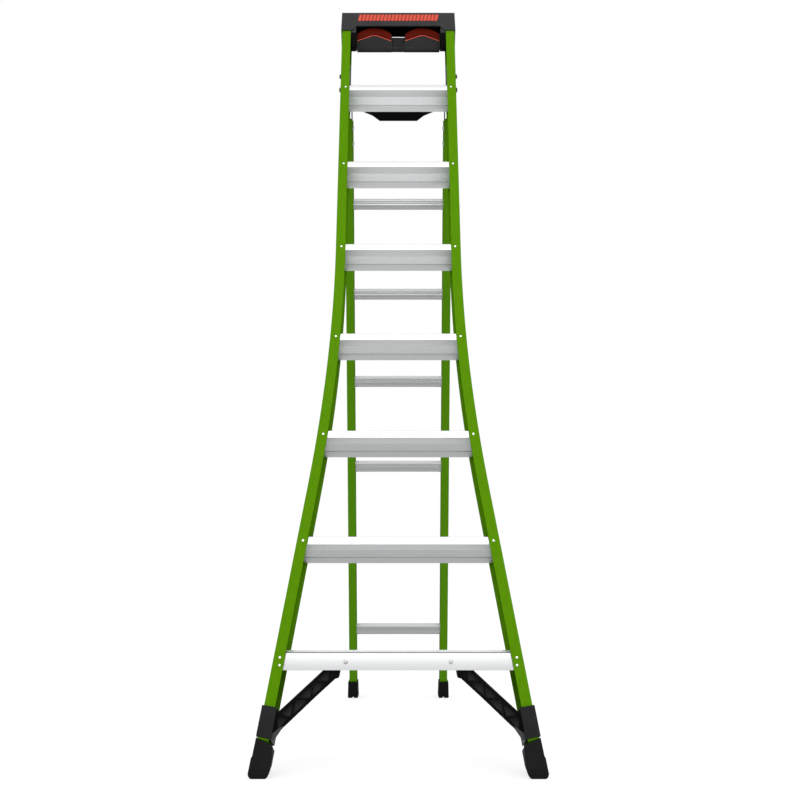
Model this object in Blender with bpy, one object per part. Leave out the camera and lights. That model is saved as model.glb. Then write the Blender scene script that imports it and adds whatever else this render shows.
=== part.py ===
"""Fibreglass combination stepladder, standing open as an A-frame.

Units are metres and +Z is up.  X runs across the ladder, and +Y runs from the
climbing side (front section) to the rear section.  The origin lies on the
floor, in the middle of the ladder's footprint.

Each section has its own two measures: "along" is the distance up the slope
from the floor, and "depth" is the distance behind the section's front face.
"""
import math

import bmesh
import bpy
from mathutils import Vector
from mathutils.geometry import tessellate_polygon

# ---------------------------------------------------------------- driving sizes
LADDER_HEIGHT = 2.3095          # standing height: an 8 ft ladder, leaning
LEAN = math.radians(18.25)      # each section leans this far from vertical
STEP_PITCH = 0.3048             # 12 inches between treads, up the slope
GAP = 0.0003                    # clearance between touching pieces
RUNNING_FIT = 0.00008           # radial clearance where one piece turns on another

FRONT_FOOT_Y = -0.7641          # front rails' front face, at floor level
REAR_FOOT_Y = 0.6842            # rear rails' front face, at floor level

# front section
RAIL_DEPTH = 0.092
RAIL_FLANGE = 0.0285
RAIL_WALL = 0.0045
RAIL_FILLET = 0.003
TOP_HALF_WIDTH = 0.1855         # outside half-width of the straight upper part
FLARE_ANGLE = math.radians(8.54)
FLARE_KNEE = 1.1256             # where the two straight lines would cross
FLARE_RADIUS = 5.05
FLARE_STATIONS = 12
RAIL_BOTTOM_Z = 0.014
RAIL_TOP_Z = 2.3010

STEP_COUNT = 6
TOP_LIP_ALONG = 2.1088          # lower edge of the top step's lip
LIP_HEIGHT = 0.0205
TREAD_DEPTH = 0.0762            # a 3 inch tread, measured level
STEP_WALL = 0.0024
APRON_DROP = 0.050              # from the lip down to the step's lowest edge
BAND_STARTS = (0.30, 0.70)      # the apron's sunk middle band, as fractions
BAND_SINK = 0.0016
BOTTOM_STEP_ALONG = 0.2582
BOTTOM_LIP_HEIGHT = 0.0437

# rear section
REAR_DEPTH = 0.070
REAR_FLANGE = 0.0272
REAR_HALF_WIDTH = 0.1789
REAR_TOP_ALONG = 2.0610
REAR_BOTTOM_Z = 0.010
RUNG_COUNT = 6
TOP_RUNG_ALONG = 1.8013         # upper edge of the highest rung
RUNG_HEIGHT = 0.0365
RUNG_DEPTHS = (0.010, 0.046)
RUNG_GROOVES = 3

# hinge
PIVOT_Y = -0.0180
PIVOT_Z = 2.0357
PIVOT_RADIUS = 0.0050
ARM_INSIDE = 0.1535             # the arm plates lie between these two X values
ARM_OUTSIDE = 0.1565
ARM_HALF_HEIGHT = 0.0100
STOP_RADIUS = 0.0040
ARM_BOLT_ALONG = (2.0350, 1.9840)
ARM_BOLT_DEPTH = 0.0350
ARM_BOLT_RADIUS = 0.0040
ARM_FOOT = 1.9560               # lower end of the arms and of the plugs behind them

# top cap and wall pads
CAP_HALF_WIDTH = 0.1885
CAP_TAPER = 0.0085              # the cap narrows by this share towards its top
CAP_SKIN = 0.0046
CAP_REAR_Y = 0.0965
CAP_TOP_THICKNESS = 0.0060
TRAY_DEPTH = 0.0025             # the tool tray is sunk this far into the cap
CHEEK_INSIDE = 0.1395
CAP_REAR_LOW = 2.2725           # lower edge of the cap's rear skirt
AXLE_Y = 0.0300
AXLE_Z = 2.2015
AXLE_RADIUS = 0.0040
PAD_FRONT_Y = -0.0100
PAD_REAR_Y = 0.0600

# ------------------------------------------------------------------- colours
GREEN = ("fibreglass_green", (0.100, 0.290, 0.006, 1.0), 0.42, 0.0)
ALUMINIUM = ("mill_aluminium", (0.720, 0.730, 0.740, 1.0), 0.34, 1.0)
BLACK = ("moulded_black", (0.028, 0.028, 0.030, 1.0), 0.50, 0.0)
RUBBER = ("black_rubber", (0.016, 0.016, 0.017, 1.0), 0.70, 0.0)
RED = ("red_pad_rubber", (0.360, 0.020, 0.012, 1.0), 0.48, 0.0)
STEEL = ("zinc_steel", (0.480, 0.490, 0.500, 1.0), 0.35, 1.0)


# ------------------------------------------------------------ places and frames
def front_place(along, depth):
    """World Y and Z of a point of the front section."""
    y = FRONT_FOOT_Y + along * math.sin(LEAN) + depth * math.cos(LEAN)
    z = along * math.cos(LEAN) - depth * math.sin(LEAN)
    return y, z


def rear_place(along, depth):
    """World Y and Z of a point of the rear section."""
    y = REAR_FOOT_Y - along * math.sin(LEAN) + depth * math.cos(LEAN)
    z = along * math.cos(LEAN) + depth * math.sin(LEAN)
    return y, z


def front_along(y, z):
    return (y - FRONT_FOOT_Y) * math.sin(LEAN) + z * math.cos(LEAN)


def rear_along(y, z):
    return z * math.cos(LEAN) - (y - REAR_FOOT_Y) * math.sin(LEAN)


def rear_depth(y, z):
    return (y - REAR_FOOT_Y) * math.cos(LEAN) + z * math.sin(LEAN)


def front_y(depth, z):
    """World Y of a depth plane of the front section at a height."""
    return FRONT_FOOT_Y + z * math.tan(LEAN) + depth / math.cos(LEAN)


def rear_y(depth, z):
    return REAR_FOOT_Y - z * math.tan(LEAN) + depth / math.cos(LEAN)


FLARE_TANGENT = FLARE_RADIUS * math.tan(FLARE_ANGLE / 2)
FLARE_START = FLARE_KNEE + FLARE_TANGENT
FLARE_END = FLARE_KNEE - FLARE_TANGENT * math.cos(FLARE_ANGLE)


def half_width(along):
    """Outside half-width of the front section: straight, an arc, then flared."""
    if along >= FLARE_START:
        return TOP_HALF_WIDTH
    if along >= FLARE_END:
        turned = (FLARE_START - along) / FLARE_RADIUS
        return TOP_HALF_WIDTH + FLARE_RADIUS * (1 - math.sqrt(1 - turned * turned))
    return TOP_HALF_WIDTH + (FLARE_KNEE - along) * math.tan(FLARE_ANGLE)


# ------------------------------------------------------------- solid-making tools
def cap_ring(bm, loops, flip):
    """Close one end of a swept shape.  The first loop is its outline, the rest holes."""
    flat = [vert for loop in loops for vert in loop]
    for corners in tessellate_polygon([[vert.co for vert in loop] for loop in loops]):
        verts = [flat[index] for index in corners]
        bm.faces.new(verts[::-1] if flip else verts)


def sweep(rings):
    """Join matching rings of loops into one closed solid.

    rings is a list of stations; a station is a list of loops; a loop is a list
    of points.  The first loop is the outline and the others are through holes.
    """
    bm = bmesh.new()
    stations = [[[bm.verts.new(point) for point in loop] for loop in ring] for ring in rings]
    for here, there in zip(stations, stations[1:]):
        for loop_a, loop_b in zip(here, there):
            for index in range(len(loop_a)):
                after = (index + 1) % len(loop_a)
                bm.faces.new((loop_a[index], loop_a[after], loop_b[after], loop_b[index]))
    cap_ring(bm, stations[0], True)
    cap_ring(bm, stations[-1], False)
    bmesh.ops.recalc_face_normals(bm, faces=bm.faces)
    return bm


def trim(bm, point, normal):
    """Cut the solid with a plane, keep the side behind its normal, close the cut."""
    geometry = bm.verts[:] + bm.edges[:] + bm.faces[:]
    result = bmesh.ops.bisect_plane(bm, geom=geometry, dist=1e-6, plane_co=point,
                                    plane_no=normal, clear_outer=True)
    edges = [item for item in result["geom_cut"] if isinstance(item, bmesh.types.BMEdge)]
    bmesh.ops.edgeloop_fill(bm, edges=edges)
    bmesh.ops.triangulate(bm, faces=[face for face in bm.faces if len(face.verts) > 4])
    bmesh.ops.recalc_face_normals(bm, faces=bm.faces)


def prism_along_x(outline, start, end):
    """Extrude a (y, z) outline between two X values."""
    return sweep([[[(x, y, z) for y, z in outline]] for x in (start, end)])


def prism_along_y(outline, start, end):
    """Extrude an (x, z) outline between two Y values."""
    return sweep([[[(x, y, z) for x, z in outline]] for y in (start, end)])


def plate(outline, place, near, far):
    """Extrude an (x, along) outline between two depths of a section."""
    rings = []
    for depth in (near, far):
        rings.append([[(x, *place(along, depth)) for x, along in outline]])
    return sweep(rings)


def box(low, high):
    return prism_along_x([(low[1], low[2]), (high[1], low[2]), (high[1], high[2]),
                          (low[1], high[2])], low[0], high[0])


def circle(centre, radius, segments, turn=0.0):
    """Points of a circle round a (u, v) centre."""
    points = []
    for index in range(segments):
        angle = turn + 2 * math.pi * index / segments
        points.append((centre[0] + radius * math.cos(angle), centre[1] + radius * math.sin(angle)))
    return points


def arc(centre, radius, start, end, segments):
    points = []
    for index in range(segments + 1):
        angle = start + (end - start) * index / segments
        points.append((centre[0] + radius * math.cos(angle), centre[1] + radius * math.sin(angle)))
    return points


def turned_along_x(centre, profile, segments, side=1):
    """A turned piece with its axis along X.  profile lists (x, radius) from end to end."""
    return sweep([[[(side * x, y, z) for y, z in circle(centre, radius, segments)]]
                  for x, radius in profile])


def cross_hole(side, centre, radius, start, end):
    """A round cutter with its axis along X between two distances from the middle."""
    return turned_along_x(centre, [(start, radius), (end, radius)], 20, side)


def offset_polygon(outline, distance):
    """Move every side of a convex polygon inward by a distance."""
    count = len(outline)
    area = sum(outline[i][0] * outline[(i + 1) % count][1] - outline[(i + 1) % count][0] * outline[i][1]
               for i in range(count))
    turn = 1 if area > 0 else -1
    lines = []
    for index in range(count):
        start = Vector(outline[index])
        way = (Vector(outline[(index + 1) % count]) - start).normalized()
        inward = Vector((-way.y, way.x)) * turn
        lines.append((start + inward * distance, way))
    moved = []
    for index in range(count):
        (point_a, way_a), (point_b, way_b) = lines[index - 1], lines[index]
        cross = way_a.x * way_b.y - way_a.y * way_b.x
        step = ((point_b.x - point_a.x) * way_b.y - (point_b.y - point_a.y) * way_b.x) / cross
        moved.append(tuple(point_a + way_a * step))
    return moved


def mesh_object(name, bm):
    mesh = bpy.data.meshes.new(name)
    bm.to_mesh(mesh)
    bm.free()
    solid = bpy.data.objects.new(name, mesh)
    bpy.context.scene.collection.objects.link(solid)
    return solid


def combine(base, other, operation):
    """Apply one Boolean between two solids, given as bmeshes, and return the result."""
    solid = mesh_object("base", base)
    tool = mesh_object("tool", other)
    modifier = solid.modifiers.new("combine", "BOOLEAN")
    modifier.operation = operation
    modifier.solver = "EXACT"
    modifier.object = tool
    graph = bpy.context.evaluated_depsgraph_get()
    result = bmesh.new()
    result.from_mesh(solid.evaluated_get(graph).to_mesh())
    for used in (solid, tool):
        mesh = used.data
        bpy.data.objects.remove(used)
        bpy.data.meshes.remove(mesh)
    bmesh.ops.dissolve_degenerate(result, dist=1e-6, edges=result.edges)
    return result


def join(base, *others):
    for other in others:
        base = combine(base, other, "UNION")
    return base


def cut(base, *others):
    for other in others:
        base = combine(base, other, "DIFFERENCE")
    return base


def finished_material(recipe):
    name, colour, roughness, metallic = recipe
    material = bpy.data.materials.get(name) or bpy.data.materials.new(name)
    material.use_nodes = True
    shader = material.node_tree.nodes["Principled BSDF"]
    shader.inputs["Base Color"].default_value = colour
    shader.inputs["Roughness"].default_value = roughness
    shader.inputs["Metallic"].default_value = metallic
    return material


def piece(name, bm, recipe, parent, smooth=False):
    """Turn a solid into a named sub-part with its material, under its body's empty."""
    solid = mesh_object(name, bm)
    solid.data.materials.append(finished_material(recipe))
    if smooth:
        solid.data.shade_smooth()
        solid.data.set_sharp_from_angle(angle=math.radians(35))
    solid.data.transform(parent.matrix_world.inverted())
    solid.parent = parent
    return solid


def body_empty(name, location, parent=None):
    """The frame of a body: its origin lies on the joint's axis."""
    empty = bpy.data.objects.new(name, None)
    empty.location = location
    bpy.context.scene.collection.objects.link(empty)
    if parent:
        empty.parent = parent
        empty.matrix_parent_inverse = parent.matrix_world.inverted()
    bpy.context.view_layer.update()
    return empty


SIDES = (("left", -1), ("right", 1))


# ---------------------------------------------------------------- front section
def channel_section(flange, depth):
    """A C-channel outline as (across, depth) points; across runs inward from the web."""
    points = [(flange, 0.0)]
    points += arc((RAIL_FILLET, RAIL_FILLET), RAIL_FILLET, -math.pi / 2, -math.pi, 2)
    points += arc((RAIL_FILLET, depth - RAIL_FILLET), RAIL_FILLET, math.pi, math.pi / 2, 2)
    points += [(flange, depth), (flange, depth - RAIL_WALL), (RAIL_WALL, depth - RAIL_WALL),
               (RAIL_WALL, RAIL_WALL), (flange, RAIL_WALL)]
    return points


def front_stations(start, end):
    """Slope positions that follow the flare: close together only along its arc."""
    bend = [FLARE_END + (FLARE_START - FLARE_END) * i / FLARE_STATIONS
            for i in range(FLARE_STATIONS + 1)]
    return [start] + [value for value in bend if start < value < end] + [end]


def front_rail(side):
    section = channel_section(RAIL_FLANGE, RAIL_DEPTH)
    rings = []
    for along in front_stations(-0.06, 2.47):
        edge = half_width(along)
        rings.append([[(side * (edge - across), *front_place(along, depth))
                       for across, depth in section]])
    rail = sweep(rings)
    trim(rail, (0, 0, RAIL_BOTTOM_Z), (0, 0, -1))
    trim(rail, (0, 0, RAIL_TOP_Z), (0, 0, 1))
    pivot = ((PIVOT_Y, PIVOT_Z), PIVOT_RADIUS + GAP)
    screw = (BLOCK_SCREW, BLOCK_SCREW_RADIUS + GAP)
    return cut(rail, *[cross_hole(side, centre, radius, 0.166, 0.187)
                       for centre, radius in (pivot, screw)])


def step_outline(lip_along, lip_height, drop):
    """Corners of a step's side view in (y, z), from the lip's lower edge round the tread."""
    front = RAIL_WALL + GAP
    lip_low = front_place(lip_along, front)
    lip_top = front_place(lip_along + lip_height, front)
    tread_end = (lip_top[0] + TREAD_DEPTH, lip_top[1])
    low_z = lip_low[1] - drop
    heel = (front_y(front, low_z) + TREAD_DEPTH, low_z)
    return lip_low, lip_top, tread_end, heel


def step_end(y, z):
    """Half-length of a step at a point: it reaches the web of the rail, less a gap."""
    return half_width(front_along(y, z)) - RAIL_WALL - GAP


def extrude_step(loops):
    rings = []
    for side in (-1, 1):
        rings.append([[(side * step_end(y, z), y, z) for y, z in loop] for loop in loops])
    return sweep(rings)


def box_step(lip_along):
    """A hollow step: ribbed apron in three bands, tread, rear wall, open at both ends."""
    lip_low, lip_top, tread_end, heel = step_outline(lip_along, LIP_HEIGHT, APRON_DROP)
    hollow = offset_polygon([lip_low, lip_top, tread_end, heel], STEP_WALL + BAND_SINK)
    start, finish = Vector(heel), Vector(lip_low)
    along_apron = finish - start
    inward = Vector((-along_apron.y, along_apron.x)).normalized() * BAND_SINK
    middle = (Vector(lip_top) + Vector(tread_end)) / 2
    if (middle - start).dot(inward) < 0:
        inward = -inward
    apron = []
    for fraction, sunk in zip(sorted(1 - share for share in BAND_STARTS), (1, -1)):
        edge = start + along_apron * fraction
        slope = along_apron.normalized() * BAND_SINK
        first, second = edge, edge + inward + slope
        if sunk < 0:
            first, second = edge + inward - slope, edge
        apron += [tuple(first), tuple(second)]
    nose_radius = 0.0025
    nose = [front_place(lip_along + LIP_HEIGHT - nose_radius, RAIL_WALL + GAP),
            (lip_top[0] + 0.0009, lip_top[1] - 0.0006), (lip_top[0] + nose_radius, lip_top[1])]
    outline = [lip_low] + nose + [tread_end, heel] + apron
    return extrude_step([outline, hollow])


def bottom_step():
    """The lowest step: a tread between two deep flanges, open underneath."""
    lip_low, lip_top, tread_end, heel = step_outline(BOTTOM_STEP_ALONG, BOTTOM_LIP_HEIGHT, 0.0)
    wall = STEP_WALL
    slant = wall / math.cos(LEAN)
    lean = math.tan(LEAN)
    under = lip_top[1] - wall
    outline = [lip_low, lip_top, tread_end, heel, (heel[0] - slant, heel[1]),
               (tread_end[0] - slant - wall * lean, under),
               (lip_top[0] + slant - wall * lean, under), (lip_low[0] + slant, lip_low[1])]
    solid = extrude_step([outline])
    for side in (-1, 1):
        solid = cut(solid, brace_bolt_hole(side))
    return solid


# ------------------------------------------------------- knee braces and front feet
BRACE_BOLT_X = 0.1310
BRACE_BOLT_ALONG = 0.2790
BRACE_BOLT_RADIUS = 0.0026
BRACE_DEPTHS = (0.0100, 0.0580)
BRACE_WEB = (0.0240, 0.0320)
BRACE_RIB = 0.0034
SLEEVE_SKIN = 0.0040
SLEEVE_TOP = 0.1715
SLEEVE_LOW = 0.0985


def rod_through_depth(x, along, profile, segments):
    """A turned piece with its axis square to the front face; profile is (depth, radius)."""
    rings = []
    for depth, radius in profile:
        rings.append([[(u, *front_place(v, depth)) for u, v in circle((x, along), radius, segments)]])
    return sweep(rings)


def brace_bolt_hole(side):
    radius = BRACE_BOLT_RADIUS + GAP
    return rod_through_depth(side * BRACE_BOLT_X, BRACE_BOLT_ALONG,
                             [(0.0, radius), (0.034, radius)], 16)


def upright_plate(outline, near, far):
    """Extrude an (x, z) outline level along Y between two depth planes of the section."""
    return sweep([[[(x, front_y(depth, z), z) for x, z in outline]] for depth in (near, far)])


# The brace in (x, z): a sloping arm from the boot to a tab inside the bottom step.
BRACE_OUTLINE = ((0.3135, 0.0800), (0.2985, 0.0862), (0.2835, 0.1080), (0.2037, 0.1813),
                 (0.1556, 0.2237), (0.1475, 0.2258), (0.1446, 0.2455), (0.1220, 0.2455),
                 (0.1220, 0.2740), (0.1509, 0.2740), (0.2818, 0.1561), (0.3060, 0.1343))
# Corners of its zig-zag ribs, taken in turn from the upper and the lower edge.
BRACE_CORNERS = ((0.2950, 0.1375), (0.2625, 0.1340), (0.2535, 0.1749), (0.2150, 0.1777),
                 (0.2110, 0.2132), (0.1720, 0.2173), (0.1680, 0.2519), (0.1560, 0.2320))
BRACE_HEEL = ((0.2965, 0.1375), (0.2625, 0.1340), (0.2855, 0.1130), (0.2965, 0.1000))


def brace_pockets():
    """The spaces between the ribs, as (x, z) outlines."""
    pockets = [BRACE_CORNERS[index:index + 3] for index in range(len(BRACE_CORNERS) - 2)]
    pockets.append(BRACE_HEEL)
    return [offset_polygon(pocket, BRACE_RIB / 2) for pocket in pockets]


def horizontal_loft(levels):
    """Stack horizontal four-cornered outlines, each a list of points, from the floor up."""
    return sweep([[level] for level in levels])


def around_front_rail(z, side, outside, insides, front, rear):
    """An outline that surrounds the front rail at a height, grown by its margins.

    insides holds two margins on the open side: at the front and at the rear.
    """
    corners = []
    for depth, inside in zip((-front, RAIL_DEPTH + rear), insides):
        y = front_y(depth, z)
        edge = half_width(front_along(y, z))
        corners.append([(side * (edge + outside), y, z),
                        (side * (edge - RAIL_FLANGE - inside), y, z)])
    return corners[0] + corners[1][::-1]


def rail_socket(side, low, high):
    """The space that a front rail fills inside a boot, with its clearance."""
    clear = 0.0004
    return horizontal_loft([around_front_rail(z, side, clear, (clear, clear), clear, clear)
                            for z in (low, high)])


def knee_brace(side):
    """Ribbed brace moulded in one with the sleeve that grips the rail above its foot."""
    skin = SLEEVE_SKIN
    sleeve = horizontal_loft([around_front_rail(z, side, skin, (skin, skin), skin, skin)
                              for z in (0.050, 0.210)])
    trim(sleeve, (side * 0.3250, *front_place(SLEEVE_TOP, 0)),
         (side * -0.18, math.sin(LEAN), math.cos(LEAN)))
    trim(sleeve, (side * 0.3400, *front_place(SLEEVE_LOW, 0)),
         (side * 0.26, -math.sin(LEAN), -math.cos(LEAN)))
    near, far = BRACE_DEPTHS
    arm = upright_plate([(side * x, z) for x, z in BRACE_OUTLINE], near, far)
    for pocket in brace_pockets():
        shape = [(side * x, z) for x, z in pocket]
        arm = cut(arm, upright_plate(shape, near - 0.002, BRACE_WEB[0]),
                  upright_plate(shape, BRACE_WEB[1], far + 0.002))
    return cut(join(arm, sleeve), rail_socket(side, 0.030, 0.230), brace_bolt_hole(side))


def brace_bolt(side):
    radius = BRACE_BOLT_RADIUS
    return rod_through_depth(side * BRACE_BOLT_X, BRACE_BOLT_ALONG,
                             [(0.0016, radius * 0.9), (0.0022, radius * 1.7),
                              (RAIL_WALL, radius * 1.9), (RAIL_WALL, radius), (0.030, radius)], 16)


FOOT_STEP_Z = 0.0500


def front_foot(side):
    """Rubber boot: a flat tread with rounded edges and a socket for the rail's end."""
    levels = []
    for z, shrink in ((0.0, 0.0060), (0.0020, 0.0034), (0.0060, 0.0012), (0.0120, 0.0),
                      (FOOT_STEP_Z - 0.003, 0.0), (FOOT_STEP_Z, 0.0018), (0.120, 0.0026)):
        insides = (0.0168 - shrink - max(0.0, z - 0.05) * 0.12, 0.0068 - shrink / 2)
        levels.append(around_front_rail(z, side, 0.0056 - shrink, insides,
                                        0.0060 - shrink, 0.0046 - shrink / 2))
    foot = horizontal_loft(levels)
    trim(foot, (side * 0.3421, -0.7400, 0.0925), (side * -0.47, math.sin(LEAN), math.cos(LEAN)))
    return cut(foot, rail_socket(side, RAIL_BOTTOM_Z - GAP, 0.140))


# -------------------------------------------------------------------- the hinge
BLOCK_SCREW = (-0.0190, 2.0812)
BLOCK_SCREW_RADIUS = 0.0040
BLOCK_TOP = 2.1100
BLOCK_CORNER = 0.0120


def hinge_block(side):
    """Moulded block inside the front rail above the top step; it carries the pivot."""
    low_z = front_place(TOP_LIP_ALONG + LIP_HEIGHT, RAIL_WALL + GAP)[1] + 0.0018
    front = RAIL_WALL + GAP
    rear = RAIL_DEPTH - RAIL_WALL - GAP
    corner_z = BLOCK_TOP - BLOCK_CORNER
    outline = [(front_y(front, low_z), low_z), (front_y(rear, low_z), low_z),
               (front_y(rear, corner_z), corner_z),
               (front_y(rear - BLOCK_CORNER, BLOCK_TOP), BLOCK_TOP),
               (front_y(front + BLOCK_CORNER, BLOCK_TOP), BLOCK_TOP),
               (front_y(front, corner_z), corner_z)]
    inside = TOP_HALF_WIDTH - RAIL_FLANGE
    outside = TOP_HALF_WIDTH - RAIL_WALL - GAP
    block = prism_along_x(outline, *sorted((side * inside, side * outside)))
    pivot = cross_hole(side, (PIVOT_Y, PIVOT_Z), PIVOT_RADIUS + GAP, 0.150, 0.190)
    screw = cross_hole(side, BLOCK_SCREW, BLOCK_SCREW_RADIUS + GAP, 0.164, 0.190)
    pin = cross_hole(side, stop_centre(), STOP_RADIUS + GAP, 0.150, 0.170)
    return cut(block, pivot, screw, pin)


def stop_centre():
    """The stop pin touches the arm's upper edge while the ladder stands open."""
    along = rear_along(PIVOT_Y, PIVOT_Z) + ARM_HALF_HEIGHT + STOP_RADIUS + GAP
    return rear_place(along, rear_depth(PIVOT_Y, PIVOT_Z) + 0.020)


def pivot_bolt(side):
    """Shoulder bolt: domed head outside the rail, shank through rail, block and arm."""
    head = TOP_HALF_WIDTH + GAP
    return turned_along_x((PIVOT_Y, PIVOT_Z),
                          [(0.1462, PIVOT_RADIUS - 0.0010), (0.1470, PIVOT_RADIUS),
                           (head, PIVOT_RADIUS), (head, 0.0088), (head + 0.0052, 0.0084),
                           (head + 0.0074, 0.0062), (head + 0.0084, 0.0022)], 20, side)


def pivot_nut(side):
    """Hexagon nut on the inner end of the pivot bolt."""
    rings = []
    for x in (0.1480, ARM_INSIDE - GAP):
        hexagon = [(side * x, y, z) for y, z in circle((PIVOT_Y, PIVOT_Z), 0.0092, 6)]
        bore = [(side * x, y, z)
                for y, z in circle((PIVOT_Y, PIVOT_Z), PIVOT_RADIUS + GAP, 18)]
        rings.append([hexagon, bore])
    return sweep(rings)


def stop_pin(side):
    return turned_along_x(stop_centre(), [(0.1518, STOP_RADIUS - 0.0006), (0.1526, STOP_RADIUS),
                                          (0.1690, STOP_RADIUS)], 20, side)


def block_screw(side):
    head = TOP_HALF_WIDTH + GAP
    return turned_along_x(BLOCK_SCREW,
                          [(0.1650, BLOCK_SCREW_RADIUS), (head, BLOCK_SCREW_RADIUS), (head, 0.0078),
                           (head + 0.0058, 0.0072), (head + 0.0078, 0.0034)], 16, side)


def hinge_arm(side):
    """Steel plate from the pivot back and down along the inside of the rear rail."""
    pivot = (rear_along(PIVOT_Y, PIVOT_Z), rear_depth(PIVOT_Y, PIVOT_Z))
    half = ARM_HALF_HEIGHT
    outline = [(pivot[0] + half, pivot[1]), (pivot[0] + half, 0.0240),
               (pivot[0] - 0.004, 0.0520)]
    outline += [(ARM_FOOT + 0.010, 0.0520), (ARM_FOOT, 0.0420), (ARM_FOOT, 0.0280),
                (ARM_FOOT + 0.010, 0.0180)]
    outline += [(pivot[0] - half - 0.010, 0.0180), (pivot[0] - half, 0.0080)]
    outline += arc(pivot, half, math.pi, 2 * math.pi, 8)[:-1]
    points = [rear_place(along, depth) for along, depth in outline]
    arm = prism_along_x(points, *sorted((side * ARM_INSIDE, side * ARM_OUTSIDE)))
    holes = [((PIVOT_Y, PIVOT_Z), PIVOT_RADIUS + RUNNING_FIT)]
    holes += arm_bolt_holes()
    return cut(arm, *[cross_hole(side, centre, radius, 0.140, 0.160) for centre, radius in holes])


# --------------------------------------------------------------- rear section
def arm_bolt_holes():
    """Centre and radius of each hole for the bolts that hold an arm to its rear rail."""
    return [(rear_place(along, ARM_BOLT_DEPTH), ARM_BOLT_RADIUS + GAP)
            for along in ARM_BOLT_ALONG]


def rear_rail(side):
    section = channel_section(REAR_FLANGE, REAR_DEPTH)
    rings = []
    for along in (-0.05, REAR_TOP_ALONG):
        rings.append([[(side * (REAR_HALF_WIDTH - across), *rear_place(along, depth))
                       for across, depth in section]])
    rail = sweep(rings)
    trim(rail, (0, 0, REAR_BOTTOM_Z), (0, 0, -1))
    return cut(rail, *[cross_hole(side, centre, radius, 0.165, 0.185)
                       for centre, radius in arm_bolt_holes()])


def rail_plug(side):
    """Moulded plug that fills the top of the rear rail between web and arm."""
    wall = RAIL_WALL + GAP
    top = REAR_TOP_ALONG + 0.0035
    outline = [(ARM_FOOT, wall), (top, wall), (top, REAR_DEPTH - wall),
               (ARM_FOOT, REAR_DEPTH - wall)]
    points = [rear_place(along, depth) for along, depth in outline]
    xs = sorted((side * (ARM_OUTSIDE + GAP), side * (REAR_HALF_WIDTH - wall)))
    return cut(prism_along_x(points, *xs), *[cross_hole(side, centre, radius, 0.145, 0.185)
                                             for centre, radius in arm_bolt_holes()])


def arm_bolt(side, along):
    """Bolt through rear rail, plug and arm, with a head at each end."""
    outer = REAR_HALF_WIDTH + GAP
    inner = ARM_INSIDE - GAP
    return turned_along_x(rear_place(along, ARM_BOLT_DEPTH),
                          [(inner - 0.0056, 0.0030), (inner - 0.0044, 0.0062), (inner, 0.0068),
                           (inner, ARM_BOLT_RADIUS), (outer, ARM_BOLT_RADIUS), (outer, 0.0072),
                           (outer + 0.0020, 0.0064), (outer + 0.0028, 0.0030)], 20, side)


def rung(index):
    """D-shaped rung: fluted upright front, flat top, rounded back."""
    top = TOP_RUNG_ALONG - STEP_PITCH * index
    low = top - RUNG_HEIGHT
    front, rear = RUNG_DEPTHS
    groove = 0.0014
    pitch = 0.0052
    outline = [(low, front + 0.0060), (low + 0.0035, front + 0.0014), (low + 0.0080, front)]
    for number in range(RUNG_GROOVES):
        start = top - 0.0020 - pitch * (RUNG_GROOVES - number)
        outline += [(start, front), (start + 0.0010, front + groove),
                    (start + 0.0028, front + groove), (start + 0.0038, front)]
    outline += [(top - 0.0012, front), (top, front + 0.0012), (top, rear - 0.0130)]
    middle = (top + low) / 2
    outline += arc((middle, rear - 0.0150), RUNG_HEIGHT / 2 - 0.0006,
                   math.radians(25), math.radians(155), 6)
    outline += [(low, rear - 0.0130)]
    points = [rear_place(along, depth) for along, depth in outline]
    wall = 0.0024
    hollow = [rear_place(along, depth)
              for along, depth in circle((middle, rear - 0.0155), RUNG_HEIGHT / 2 - wall - 0.0012, 12)]
    end = REAR_HALF_WIDTH - RAIL_WALL - GAP
    return sweep([[[(x, y, z) for y, z in loop] for loop in (points, hollow)] for x in (-end, end)])


BRACE_LOW = 2.0590
BRACE_HIGH = 2.1330


def cross_brace():
    """Moulded brace that ties the two hinge arms; its lower edge dips in the middle."""
    end = ARM_INSIDE - GAP
    half = [(end, 2.1020), (0.1180, 2.0890), (0.1110, 2.0860), (0.0860, 2.0760),
            (0.0625, BRACE_LOW)]
    outline = half + [(-x, along) for x, along in reversed(half)]
    outline += [(-end, BRACE_HIGH), (end, BRACE_HIGH)]
    near, far = 0.0200, 0.0500
    solid = plate(outline, rear_place, near, far)
    skin = 0.0045
    hollow = [(end - 0.020, BRACE_HIGH - skin), (-end + 0.020, BRACE_HIGH - skin),
              (-end + 0.020, 2.1035), (-0.0860, 2.0830), (-0.0600, BRACE_LOW + skin),
              (0.0600, BRACE_LOW + skin), (0.0860, 2.0830), (end - 0.020, 2.1035)]
    return cut(solid, plate(hollow, rear_place, near + skin, far + 0.002))


def around_rear_rail(z, side, outside, inside, front, rear):
    """An outline that surrounds the rear rail at a height, grown by four margins."""
    outer = side * (REAR_HALF_WIDTH + outside)
    inner = side * (REAR_HALF_WIDTH - REAR_FLANGE - inside)
    near, far = rear_y(-front, z), rear_y(REAR_DEPTH + rear, z)
    return [(outer, near, z), (inner, near, z), (inner, far, z), (outer, far, z)]


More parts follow.
